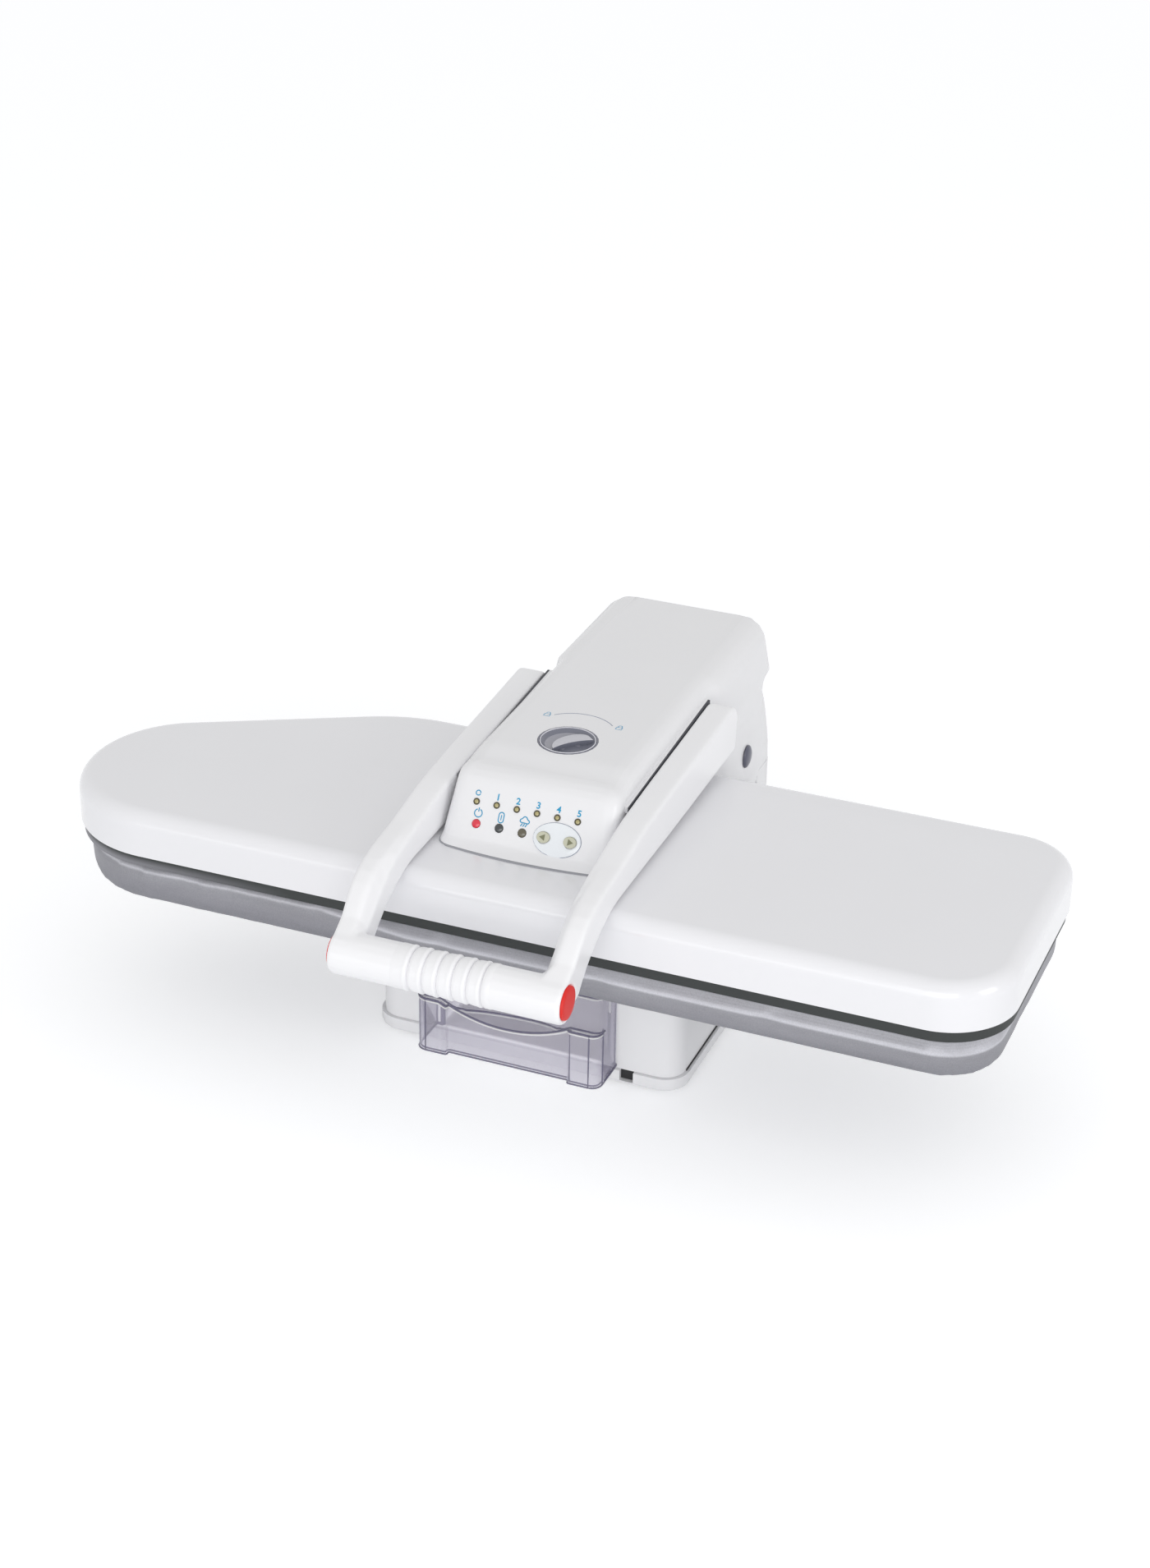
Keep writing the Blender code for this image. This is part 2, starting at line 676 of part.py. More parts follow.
# Steam chamber cast block on the plate, with its nipple
chamber_low = plate_top + GAP
chamber_outline = rounded_box(-CHAMBER_HALF, FRONT + CHAMBER_START, CHAMBER_HALF,
                              FRONT + CHAMBER_START + chamber_run, CHAMBER_CORNER, 4)
nipple_y = FRONT + chamber_middle
chamber = slab("steam_chamber", chamber_outline, "Z", chamber_low, chamber_top, aluminium, arm_pivot)
nipple = bmesh.new()
add_turned(nipple, [(-NIPPLE_LENGTH / 2, 0), (-NIPPLE_LENGTH / 2, NIPPLE_RADIUS * 1.5),
                    (NIPPLE_LENGTH / 3, NIPPLE_RADIUS * 1.5), (NIPPLE_LENGTH / 3, NIPPLE_RADIUS),
                    (NIPPLE_LENGTH, NIPPLE_RADIUS), (NIPPLE_LENGTH, 0)],
           frame_at((0, nipple_y, chamber_top), (0, 0, 1)), SMALL_STEPS)
shape_with(chamber, nipple, "UNION")

# Tubular heating element: an open loop on the plate round the steam chamber
element_z = plate_top + GAP + ELEMENT_RADIUS
element_outline = [(x, y) for x, y in board_outline(ELEMENT_INSET)]
split = CORNER_STEPS * 2 + 1
tail_y = element_outline[split][1]
element_path = [(-ELEMENT_TAIL, FRONT + tail_y, element_z)]
element_path += [(x, FRONT + y, element_z) for x, y in element_outline[split + 1:]]
element_path += [(x, FRONT + y, element_z) for x, y in element_outline[:split + 1]]
element_path.append((ELEMENT_TAIL, FRONT + tail_y, element_z))
add_tube("heating_element", element_path, ELEMENT_RADIUS, steel, arm_pivot)

thermostat_x = CHAMBER_HALF + THERMOSTAT_RADIUS * 2
turned("thermostat", rod_profile(0, THERMOSTAT_HEIGHT, THERMOSTAT_RADIUS),
       frame_at((thermostat_x, nipple_y, chamber_low), (0, 0, 1)), zinc_steel, arm_pivot, SMALL_STEPS)

# Pressing board: silvered cover drawn over foam and a steel pan, hemmed underneath
skin_inset = PAD_INSET + PAD_SKIN
skin_radius = PAD_EDGE_RADIUS - PAD_SKIN
skin_top = pad_top - PAD_SKIN
edge_low = pad_top - PAD_EDGE_RADIUS
foot_inset = PAD_INSET + PAD_FOOT_RADIUS
hem_inset = skin_inset + PAD_HEM
pad_rings = [board_ring(skin_inset + inset, skin_top - skin_radius + rise)
             for inset, rise in reversed(rounding(skin_radius))]
pad_rings.append(board_ring(skin_inset, pad_low + PAD_FOOT_RADIUS + PAD_SKIN))
pad_rings.append(board_ring(foot_inset, pad_low + PAD_SKIN))
pad_rings.append(board_ring(hem_inset, pad_low + PAD_SKIN))
pad_rings.append(board_ring(hem_inset, pad_low))
pad_rings.append(board_ring(foot_inset, pad_low))
pad_rings.append(board_ring(PAD_INSET, pad_low + PAD_FOOT_RADIUS))
side_height = edge_low - pad_low - PAD_FOOT_RADIUS
for share in (0.25, 0.5, 0.75):
    drawn = PAD_DRAW_IN * math.sin(math.pi * share)
    pad_rings.append(board_ring(PAD_INSET + drawn, pad_low + PAD_FOOT_RADIUS + side_height * share))
pad_rings += [board_ring(PAD_INSET + inset, edge_low + rise)
              for inset, rise in rounding(PAD_EDGE_RADIUS, EDGE_STEPS + 2)]
loft("board_cover", pad_rings, silver_fabric)

foam_top = skin_top - GAP
foam_low = foam_top - FOAM_THICKNESS
foam_inset = skin_inset + PAD_DRAW_IN + GAP
foam_start = math.asin(max(0.0, 1 - FOAM_THICKNESS / skin_radius))
foam_rings = [board_ring(foam_inset + inset, foam_top - skin_radius + rise)
              for inset, rise in rounding(skin_radius, EDGE_STEPS, foam_start)]
loft("board_foam", foam_rings, foam_white)

pan_top = foam_low - GAP
pan_inset = skin_inset + PAN_INSET
pan_rings = [board_ring(pan_inset + PAN_SHEET, pan_top - PAN_SHEET),
             board_ring(pan_inset + PAN_SHEET, pan_top - PAN_RIM),
             board_ring(pan_inset, pan_top - PAN_RIM), board_ring(pan_inset, pan_top)]
board_pan = loft("board_pan", pan_rings, zinc_steel)
posts = bmesh.new()
for side in (-POST_SIDE, POST_SIDE):
    for back in (POST_FRONT, post_back):
        spot = frame_at((side, FRONT + back, shell_top + GAP), (0, 0, 1))
        tall = pan_top - PAN_SHEET / 2 - shell_top - GAP
        add_turned(posts, [(0, 0), (0, POST_FLANGE_RADIUS), (POST_FLANGE, POST_FLANGE_RADIUS),
                           (POST_FLANGE, POST_RADIUS), (tall, POST_RADIUS), (tall, 0)], spot, SMALL_STEPS)
shape_with(board_pan, posts, "UNION")

# Base shell: open below, with the bay's mouth in front and a well for the column behind
base_start = FRONT + BASE_FRONT
base_end = FRONT + BASE_BACK


def base_outline(inset, steps=CORNER_STEPS):
    return rounded_box(-BASE_HALF + inset, base_start + inset, BASE_HALF - inset, base_end - inset,
                       BASE_CORNER - inset, steps)


shell_rings = [ring_at(base_outline(BASE_WALL), shell_top - BASE_WALL), ring_at(base_outline(BASE_WALL), shell_low),
               ring_at(base_outline(0), shell_low)]
shell_rings += [ring_at(base_outline(inset), shell_top - BASE_TOP_RADIUS + rise)
                for inset, rise in rounding(BASE_TOP_RADIUS, 3)]
base_shell = loft("base_shell", shell_rings, white_plastic)
mouth = bmesh.new()
mouth_half = BAY_HALF + GAP
bay_low = shell_low + GAP
bay_top = bay_low + BAY_HEIGHT
add_loft(mouth, box_rings((-mouth_half, base_start - OVERRUN, shell_low - OVERRUN),
                          (mouth_half, base_start + BASE_WALL + OVERRUN, bay_top + GAP)))
add_loft(mouth, box_rings((-WELL_HALF, hinge_y - WELL_FRONT, shell_top - BASE_WALL - OVERRUN),
                          (WELL_HALF, hinge_y + WELL_BACK, shell_top + OVERRUN)))
gland_z = shell_low + GLAND_UP
gland_frame = frame_at((gland_side, base_end, gland_z), (0, -1, 0))
add_turned(mouth, rod_profile(-OVERRUN, BASE_WALL + OVERRUN, GLAND_RADIUS + GAP), gland_frame, SMALL_STEPS)
shape_with(base_shell, mouth)

# Bottom tray with vents and a finger notch
def tray_outline(inset):
    return rounded_box(-BASE_HALF - TRAY_LIP + inset, base_start - TRAY_LIP + inset, BASE_HALF + TRAY_LIP - inset,
                       base_end + TRAY_LIP - inset, BASE_CORNER + TRAY_LIP - inset)


tray_wall = TRAY_LIP + BASE_WALL
tray_rings = [ring_at(tray_outline(tray_wall), tray_floor), ring_at(tray_outline(tray_wall), tray_top),
              ring_at(tray_outline(0), tray_top)]
tray_rings += [ring_at(tray_outline(inset), FOOT_HEIGHT + TRAY_EDGE_RADIUS - rise)
               for inset, rise in rounding(TRAY_EDGE_RADIUS, 2)]
bottom_tray = loft("bottom_tray", tray_rings, white_plastic)
openings = bmesh.new()
for i in range(VENT_COUNT):
    for side in (-1, 1):
        middle = side * BASE_HALF / 2
        back = base_start + BAY_DEPTH / 2 + (i - (VENT_COUNT - 1) / 2) * VENT_PITCH
        add_loft(openings, box_rings((middle - VENT_LENGTH / 2, back, FOOT_HEIGHT - OVERRUN),
                                     (middle + VENT_LENGTH / 2, back + VENT_WIDTH, tray_floor + OVERRUN)))
add_loft(openings, box_rings((TRAY_NOTCH_SIDE, base_start - TRAY_LIP - OVERRUN, tray_floor),
                             (TRAY_NOTCH_SIDE + TRAY_NOTCH_WIDTH, base_start - TRAY_LIP + tray_wall + OVERRUN,
                              tray_top + OVERRUN)))
foot_spots = [(x * (BASE_HALF - FOOT_INSET), y) for x in (-1, 1)
              for y in (base_start + FOOT_INSET, base_end - FOOT_INSET)]
for x, y in foot_spots:
    add_turned(openings, rod_profile(-OVERRUN, TRAY_FLOOR + OVERRUN, FOOT_PLUG_RADIUS + GAP),
               frame_at((x, y, FOOT_HEIGHT), (0, 0, 1)), 8)
shape_with(bottom_tray, openings)

for number, (x, y) in enumerate(foot_spots, 1):
    turned("foot_{}".format(number),
           [(-FOOT_HEIGHT, 0), (-FOOT_HEIGHT, FOOT_RADIUS * 0.9), (-GAP, FOOT_RADIUS), (-GAP, FOOT_PLUG_RADIUS),
            (TRAY_FLOOR + GAP, FOOT_PLUG_RADIUS), (TRAY_FLOOR + GAP, 0)],
           frame_at((x, y, FOOT_HEIGHT), (0, 0, 1)), rubber, None, 12)

# Tank bay: a liner with an open mouth and a bore for the valve
bay_start = base_start
bay_end = base_start + BAY_DEPTH


def bay_rect(inset, level):
    low, high = bay_low + inset, bay_top - inset
    half = BAY_HALF - inset
    return [(-half, level, low), (half, level, low), (half, level, high), (-half, level, high)]


bay_rings = [bay_rect(BAY_WALL, bay_end - BAY_WALL), bay_rect(BAY_WALL, bay_start), bay_rect(0, bay_start),
             bay_rect(0, bay_end)]
tank_bay = loft("tank_bay", bay_rings, white_plastic)
tank_low = bay_low + BAY_WALL + GAP
tank_top = tank_low + TANK_HEIGHT
valve_z = tank_low + VALVE_HEIGHT
tank_end = base_start + TANK_LENGTH
bore = bmesh.new()
add_turned(bore, rod_profile(-BAY_WALL - OVERRUN, OVERRUN, VALVE_RADIUS + RUNNING), along_y(0, valve_z, bay_end),
           SMALL_STEPS)
shape_with(tank_bay, bore)

# Water tank: clear, open on top, with a hollowed front and a scooped lip for the fingers
tank_pivot = make_pivot("tank_slide", (0, base_start, tank_low))
shoulder_y = base_start - GAP
FRONT_SHARES = (0.90, 0.62, 0.31, 0.0)


def tank_outline(inset, set_back, scoop):
    """Plan of the tank from its front middle round to its rear; set_back and scoop shape the front."""
    front = base_start - TANK_FRONT_REACH + inset + set_back
    half = TANK_FRONT_HALF - inset
    radius = TANK_FRONT_CORNER - inset / 2
    right = []
    for share in reversed(FRONT_SHARES):
        wave = math.cos(math.pi / 2 * share) ** 2
        right.append((TANK_FRONT_HALF * share, front + (TANK_FRONT_HOLLOW + scoop) * wave))
    right += arc(half - radius, front + radius, radius, -90 + 20, 0, 3)
    right.append((half, shoulder_y - inset))
    right.append((TANK_HALF - inset, shoulder_y - inset))
    right.append((TANK_HALF - inset, tank_end - inset))
    left = [(-x, y) for x, y in reversed(right[1:])]
    return right + left


def tank_ring(inset, level, set_back=0.0, scoop=0.0, dip=0.0):
    """One level of the tank; dip lowers the front lip towards its middle."""
    points = []
    for x, y in tank_outline(inset, set_back, scoop):
        share = min(1.0, abs(x) / (TANK_FRONT_HALF * 0.8))
        lowered = dip * math.cos(math.pi / 2 * share) ** 2 if y < shoulder_y - TANK_FRONT_CORNER else 0.0
        points.append((x, y, level - lowered))
    return points


lip_z = tank_low + TANK_LIP_HEIGHT
tank_rings = [tank_ring(TANK_WALL, tank_low + TANK_WALL),
              tank_ring(TANK_WALL, lip_z - TANK_WALL, 0, 0, TANK_SCOOP_DEPTH),
              tank_ring(TANK_WALL, lip_z - TANK_WALL + TANK_LIP_SLOPE, TANK_UPPER_SET_BACK, TANK_SCOOP_SET_BACK,
                        TANK_SCOOP_DEPTH),
              tank_ring(TANK_WALL, tank_top, TANK_UPPER_SET_BACK, TANK_SCOOP_SET_BACK),
              tank_ring(0, tank_top, TANK_UPPER_SET_BACK, TANK_SCOOP_SET_BACK),
              tank_ring(0, lip_z + TANK_LIP_SLOPE, TANK_UPPER_SET_BACK, TANK_SCOOP_SET_BACK, TANK_SCOOP_DEPTH),
              tank_ring(0, lip_z, 0, 0, TANK_SCOOP_DEPTH),
              tank_ring(0, tank_low)]
loft("water_tank", tank_rings, clear_plastic, tank_pivot)
valve_frame = along_y(0, valve_z, tank_end + GAP)
turned("tank_valve", rod_profile(0, VALVE_LENGTH, VALVE_RADIUS), valve_frame, white_plastic, tank_pivot, SMALL_STEPS)
seal_inner = VALVE_RADIUS + GAP
turned("valve_seal", [(GAP, seal_inner), (GAP, VALVE_SEAL_RADIUS), (GAP + VALVE_SEAL, VALVE_SEAL_RADIUS),
                      (GAP + VALVE_SEAL, seal_inner)], valve_frame, rubber, tank_pivot, SMALL_STEPS, closed=True)
socket_frame = along_y(0, valve_z, bay_end + GAP)
socket_bore = VALVE_RADIUS + RUNNING
socket_depth = SOCKET_LENGTH - SOCKET_WALL
turned("valve_socket", [(socket_depth, 0), (socket_depth, socket_bore), (0, socket_bore), (0, SOCKET_RADIUS),
                        (SOCKET_LENGTH, SOCKET_RADIUS), (SOCKET_LENGTH, 0)], socket_frame, dark_plastic, None,
       SMALL_STEPS)

# Column: two steel plates with a foot flange each, joined by braces, with bushes for the shaft
column_low = tray_floor + GAP
column_front = hinge_y - COLUMN_DEPTH / 2
column_back = hinge_y + COLUMN_DEPTH / 2
column_sheet = [(column_front, column_low), (column_back, column_low)]
column_sheet += arc(hinge_y, hinge_z, COLUMN_HEAD_RADIUS, 10, 170, CORNER_STEPS)
column_inner = COLUMN_HALF - COLUMN_PLATE
hinge_column = slab("hinge_column", column_sheet, "X", -COLUMN_HALF, -column_inner, zinc_steel)
other_plate = bmesh.new()
add_loft(other_plate, slab_rings(column_sheet, "X", column_inner, COLUMN_HALF))
shape_with(hinge_column, other_plate, "UNION")
brace_half = COLUMN_HALF - COLUMN_PLATE / 2
brace_z = shell_top - BRACE_HEIGHT
brace_back = hinge_y + COLUMN_HEAD_RADIUS
braces = bmesh.new()
for front in (hinge_y - COLUMN_HEAD_RADIUS, brace_back - BRACE_THICKNESS):
    add_loft(braces, box_rings((-brace_half, front, brace_z),
                               (brace_half, front + BRACE_THICKNESS, brace_z + BRACE_HEIGHT)))
for side in (-1, 1):
    low_x, high_x = sorted((side * (COLUMN_HALF - COLUMN_FLANGE), side * brace_half))
    add_loft(braces, box_rings((low_x, column_front, column_low), (high_x, column_back, column_low + COLUMN_PLATE)))
shape_with(hinge_column, braces, "UNION")
bored = bmesh.new()
for side in (-1, 1):
    ends = sorted((side * (column_inner - OVERRUN), side * (COLUMN_HALF + OVERRUN)))
    add_turned(bored, rod_profile(*ends, BUSH_RADIUS + GAP), along_x(hinge_y, hinge_z))
shape_with(hinge_column, bored)

bush_in = column_inner - GAP - BUSH_FLANGE
for side, word in ((-1, "left"), (1, "right")):
    turned("hinge_bush_" + word,
           [(side * bush_in, SHAFT_RADIUS + GAP), (side * bush_in, BUSH_FLANGE_RADIUS),
            (side * (column_inner - GAP), BUSH_FLANGE_RADIUS), (side * (column_inner - GAP), BUSH_RADIUS),
            (side * COLUMN_HALF, BUSH_RADIUS), (side * COLUMN_HALF, SHAFT_RADIUS + GAP)],
           along_x(hinge_y, hinge_z), brass, None, ROUND_STEPS, closed=True)

shaft_half = CASING_HINGE_HALF - CASING_WALL - GAP * 2
turned("hinge_shaft", rod_profile(-shaft_half, shaft_half, SHAFT_RADIUS), along_x(hinge_y, hinge_z), steel)

coil_radius = SHAFT_RADIUS + RUNNING + SPRING_WIRE
for side, word in ((-1, "left"), (1, "right")):
    start = bush_in - GAP - SPRING_WIRE
    coil = []
    for i in range(SPRING_TURNS * 8 + 1):
        turn = 2 * math.pi * i / 8
        coil.append((side * (start - SPRING_PITCH * i / 8), hinge_y + coil_radius * math.cos(turn),
                     hinge_z + coil_radius * math.sin(turn)))
    add_tube("lift_spring_" + word, coil, SPRING_WIRE, steel, None, 0)

# Rear housing: a hooded cover over the column, slotted for the arm's beam
housing_low = shell_top + GAP


# Height up the housing's curved top, and its half-width there, as shares of the whole
CROWN_SHARES = ((-0.68, 0.996), (-0.40, 0.988), (-0.24, 0.976), (0.0, 0.952), (0.24, 0.922), (0.47, 0.890),
                (0.65, 0.856), (0.81, 0.80), (0.92, 0.72), (1.0, 0.62))


def end_reach(reach, radius, level, inset):
    """How far an end of the housing stands from the hinge at a level, under the rounding of its top."""
    above = level - (HOUSING_TOP - radius)
    if above <= 0:
        return reach - inset
    return reach - radius + math.sqrt(max(0.0, (radius - inset) ** 2 - above ** 2))


def housing_ring(inset, level, half):
    rear = end_reach(HOUSING_REACH, HOUSING_REAR_RADIUS, level, inset)
    front = end_reach(HOUSING_FRONT_REACH, HOUSING_FRONT_RADIUS, level, inset)
    outline = rounded_box(-half + inset, -front, half - inset, rear, HOUSING_CORNER - inset, 3)
    return [(x, hinge_y + y, hinge_z + level) for x, y in outline]


def housing_rings(inset, low):
    rings = [housing_ring(inset, low - hinge_z, HOUSING_HALF)]
    for rise, width in CROWN_SHARES[:-1]:
        rings.append(housing_ring(inset, HOUSING_TOP * rise, HOUSING_HALF * width))
    rings.append(housing_ring(inset, HOUSING_TOP - inset, HOUSING_HALF * CROWN_SHARES[-1][1]))
    return rings


rear_housing = loft("rear_housing", housing_rings(0.0, housing_low), white_plastic)
tail_low = tray_top + HOUSING_TAIL_UP
tail_front = base_end + GAP
tail_rear = hinge_y + HOUSING_REACH


def tail_rings(inset, low, high):
    """The part of the housing that hangs down behind the base."""
    half = HOUSING_HALF - inset
    corner = HOUSING_CORNER - inset
    outline = [(-half, tail_front + inset), (half, tail_front + inset)]
    outline += arc(half - corner, tail_rear - inset - corner, corner, 0, 90, 3)
    outline += arc(-half + corner, tail_rear - inset - corner, corner, 90, 180, 3)
    return slab_rings(outline, "Z", low, high)


tail = bmesh.new()
add_loft(tail, tail_rings(0.0, tail_low, housing_low + HOUSING_CORNER))
shape_with(rear_housing, tail, "UNION")
hollow = bmesh.new()
add_loft(hollow, housing_rings(HOUSING_WALL, housing_low - OVERRUN))
shape_with(rear_housing, hollow)
tail_hollow = bmesh.new()
add_loft(tail_hollow, tail_rings(HOUSING_WALL, tail_low + HOUSING_WALL, housing_low))
shape_with(rear_housing, tail_hollow)
slots = bmesh.new()
add_loft(slots, box_rings((-HOUSING_SLOT_HALF, hinge_y - HOUSING_FRONT_REACH - OVERRUN,
                           hinge_z - HOUSING_SLOT_DROP),
                          (HOUSING_SLOT_HALF, hinge_y + HOUSING_SLOT_BACK, hinge_z + HOUSING_TOP + OVERRUN)))
shape_with(rear_housing, slots)
shaft_holes = bmesh.new()
shaft_reach = HOUSING_HALF + OVERRUN
add_turned(shaft_holes, rod_profile(-shaft_reach, shaft_reach, SHAFT_RADIUS + RUNNING), along_x(hinge_y, hinge_z))
shape_with(rear_housing, shaft_holes)

# Arm casing: rings from its inside top down to its lower edge and up again outside
waist_z = cover_top + CASING_WAIST_UP
shoulder_z = casing_top - CASING_TOP_RADIUS
side_low = hinge_z - SIDE_DROP
slope_y = FRONT + KNOB_BACK
panel_lean = PANEL_RUN / PANEL_RISE
wall_on_panel = CASING_WALL * math.sqrt(1 + panel_lean ** 2)


def casing_ring(front_half, rear_half, front, rear, level, inset=0.0, lifted=0.0):
    """Plan of the casing at one level: narrow between the handle's arms, wider behind them."""
    corner = max(CASING_CORNER - inset, CASING_WALL)
    rear_corner = max(CASING_REAR_CORNER - inset, CASING_CORNER / 2)
    right = arc(front_half - corner, front + corner, corner, -90, 0, 4)
    for share in (0.0, 0.35, 0.65, 1.0):
        eased = share * share * (3 - 2 * share)
        right.append((front_half + (rear_half - front_half) * eased, FRONT + SHOULDER_START + SHOULDER_RUN * share))
    right += arc(rear_half - rear_corner, rear - rear_corner, rear_corner, 0, 90, 5)
    outline = right + [(-x, y) for x, y in reversed(right)]
    return [(x, y, level + lifted * CASING_SLOPE_SHARE * (y - slope_y)) for x, y in outline]


def casing_levels(wall):
    """Rings of the outer skin for wall 0, or of the inner skin for a wall's thickness."""
    front_wall = wall_on_panel if wall else 0.0
    rear = FRONT + CASING_REAR - wall
    front_low = FRONT + PANEL_START + front_wall
    rings = []
    for level, half in ((side_low, CASING_HINGE_HALF), (hinge_z, CASING_HINGE_HALF),
                        (casing_low, (CASING_HINGE_HALF + CASING_WAIST_HALF) / 2)):
        rings.append(casing_ring(CASING_FOOT_HALF - wall, half - wall, front_low, rear, level, wall))
    for level, front_half, half in ((waist_z, (CASING_FOOT_HALF + CASING_TOP_HALF) / 2, CASING_WAIST_HALF),
                                    (shoulder_z, CASING_TOP_HALF, CASING_SHOULDER_HALF)):
        front = front_low + (level - casing_low) * panel_lean
        rings.append(casing_ring(front_half - wall, half - wall, front, rear, level, wall))
    front = front_low + (shoulder_z - casing_low) * panel_lean
    radius = CASING_TOP_RADIUS - wall
    extra = (CASING_SHOULDER_HALF - CASING_TOP_HALF) / CASING_TOP_RADIUS
    for inset, rise in rounding(radius, EDGE_STEPS)[1:]:
        share = rise / radius
        back = rear - CASING_REAR_EDGE * inset / radius
        rings.append(casing_ring(CASING_TOP_HALF - wall - inset, CASING_SHOULDER_HALF - wall - inset * (1 + extra),
                                 front + inset + rise * panel_lean / 2, back, shoulder_z + rise, wall + inset,
                                 share))
    return rings


casing_rings = list(reversed(casing_levels(CASING_WALL))) + casing_levels(0.0)
arm_casing = loft("arm_casing", casing_rings, white_plastic, arm_pivot)

side_front = FRONT + SIDE_START
side_rear = hinge_y + SIDE_BACK
skirt_z = hinge_z + SKIRT_UP
kept = [(FRONT, casing_low), (side_front, casing_low)]
kept += arc(side_front + SIDE_CORNER, side_low + SIDE_CORNER, SIDE_CORNER, 180, 270, 5)
kept += arc(side_rear - SIDE_CORNER, side_low + SIDE_CORNER, SIDE_CORNER, 270, 360, 5)
kept += arc(side_rear + SKIRT_CORNER, skirt_z - SKIRT_CORNER, SKIRT_CORNER, 180, 90, 4)
past_rear = FRONT + CASING_REAR + OVERRUN
past_top = casing_top + CASING_TOP_RADIUS + OVERRUN
kept += [(past_rear, skirt_z), (past_rear, past_top), (FRONT, past_top)]
keeper = bmesh.new()
past_side = CASING_HINGE_HALF + OVERRUN
add_loft(keeper, slab_rings(kept, "X", -past_side, past_side))
shape_with(arm_casing, keeper, "INTERSECT")

# Frames of the panel and the knob, on the casing's outer skin
panel_up = Vector((0, PANEL_RUN, PANEL_RISE)).normalized()
panel_out = Vector((0, -PANEL_RISE, PANEL_RUN)).normalized()
panel_foot = Vector((0, FRONT + PANEL_START, casing_low))
knob_up = Vector((0, -CASING_SLOPE_SHARE, 1)).normalized()
knob_place = Vector((0, knob_y, casing_top))


def on_panel(across, up, height=0.0):
    """A frame on the panel: X to the right, Y up the slope, Z out of it."""
    place = panel_foot + Vector((across, 0, 0)) + panel_up * up + panel_out * height
    return frame_at(place, panel_out)


leds = [(LED_FIRST + LED_PITCH * i, LED_UP) for i in range(LED_COUNT)]
lamps = [(LAMP_FIRST + LAMP_PITCH * i, LAMP_UP) for i in range(3)]
buttons = [(OVAL_ACROSS - BUTTON_SPACING / 2, OVAL_UP), (OVAL_ACROSS + BUTTON_SPACING / 2, OVAL_UP)]
stem_end = -(BOARD_DEPTH - GAP)
pivot_y = bar_y + HANDLE_REACH - PIVOT_BACK
pivot_z = bar_z + HANDLE_RISE - PIVOT_DROP
bores = bmesh.new()
bore_depth = -(CASING_WALL + OVERRUN)
for across, up in leds:
    add_turned(bores, rod_profile(bore_depth, OVERRUN, LED_RADIUS + GAP), on_panel(across, up), 8)
for across, up in lamps:
    add_turned(bores, rod_profile(bore_depth, OVERRUN, LAMP_RADIUS + GAP), on_panel(across, up), 12)
for across, up in buttons:
    add_turned(bores, rod_profile(bore_depth, OVERRUN, BUTTON_STEM_RADIUS + GAP), on_panel(across, up), 8)
add_turned(bores, rod_profile(bore_depth, OVERRUN, CUP_RADIUS + GAP), frame_at(knob_place, knob_up), KNOB_STEPS)
cap_reach = CASING_HINGE_HALF + OVERRUN
add_turned(bores, rod_profile(-cap_reach, cap_reach, CAP_PLUG_RADIUS + GAP), along_x(hinge_y, hinge_z))
add_turned(bores, rod_profile(-HANDLE_HALF, HANDLE_HALF, PIVOT_RADIUS + GAP), along_x(pivot_y, pivot_z), 12)
shape_with(arm_casing, bores)

# Hinge caps: grey domes plugged into the casing's sides
for side, word in ((-1, "left"), (1, "right")):
    face = CASING_HINGE_HALF
    seat = face - CASING_WALL
    dome = [(side * seat, 0), (side * seat, CAP_PLUG_RADIUS), (side * (face + GAP), CAP_PLUG_RADIUS),
            (side * (face + GAP), CAP_RADIUS)]
    for share in (0.35, 0.7, 0.9):
        dome.append((side * (face + GAP + CAP_HEIGHT * share), CAP_RADIUS * math.sqrt(1 - share ** 2)))
    dome.append((side * (face + GAP + CAP_HEIGHT), 0))
    turned("hinge_cap_" + word, dome, along_x(hinge_y, hinge_z), grey_plastic, arm_pivot, 16)

# Arm beam: a folded steel channel from the plate to the hinge
beam_start = FRONT + BEAM_START
knee_y = FRONT + BEAM_KNEE


def beam_outline(drop, low_drop):
    """Side view of the beam; drop lowers its upper edge, low_drop its lower edge."""
    low = beam_low - low_drop
    points = [(beam_start, low), (knee_y, low)]
    points += arc(hinge_y, hinge_z, BEAM_EAR_RADIUS + low_drop, 215, 360, 5)
    points += arc(hinge_y, hinge_z, BEAM_EAR_RADIUS - drop, 0, 60, 3)
    points += [(knee_y + BEAM_HEIGHT, beam_top - drop), (beam_start, beam_top - drop)]
    return points


arm_beam = slab("arm_beam", beam_outline(0.0, 0.0), "X", -BEAM_HALF, BEAM_HALF, zinc_steel, arm_pivot)
channel = bmesh.new()
channel_half = BEAM_HALF - BEAM_SHEET
low, high = beam_start - OVERRUN, hinge_y + BEAM_EAR_RADIUS + OVERRUN
channel_outline = [(low, side_low), (high, side_low), (high, hinge_z + BEAM_EAR_RADIUS - BEAM_SHEET)]
channel_outline += [(hinge_y, hinge_z + BEAM_EAR_RADIUS - BEAM_SHEET)]
channel_outline += [(knee_y + BEAM_HEIGHT, beam_top - BEAM_SHEET), (low, beam_top - BEAM_SHEET)]
add_loft(channel, slab_rings(channel_outline, "X", -channel_half, channel_half))
shape_with(arm_beam, channel)
ear_holes = bmesh.new()
add_turned(ear_holes, rod_profile(-BEAM_HALF - OVERRUN, BEAM_HALF + OVERRUN, SHAFT_RADIUS + GAP),
           along_x(hinge_y, hinge_z))
shape_with(arm_beam, ear_holes)

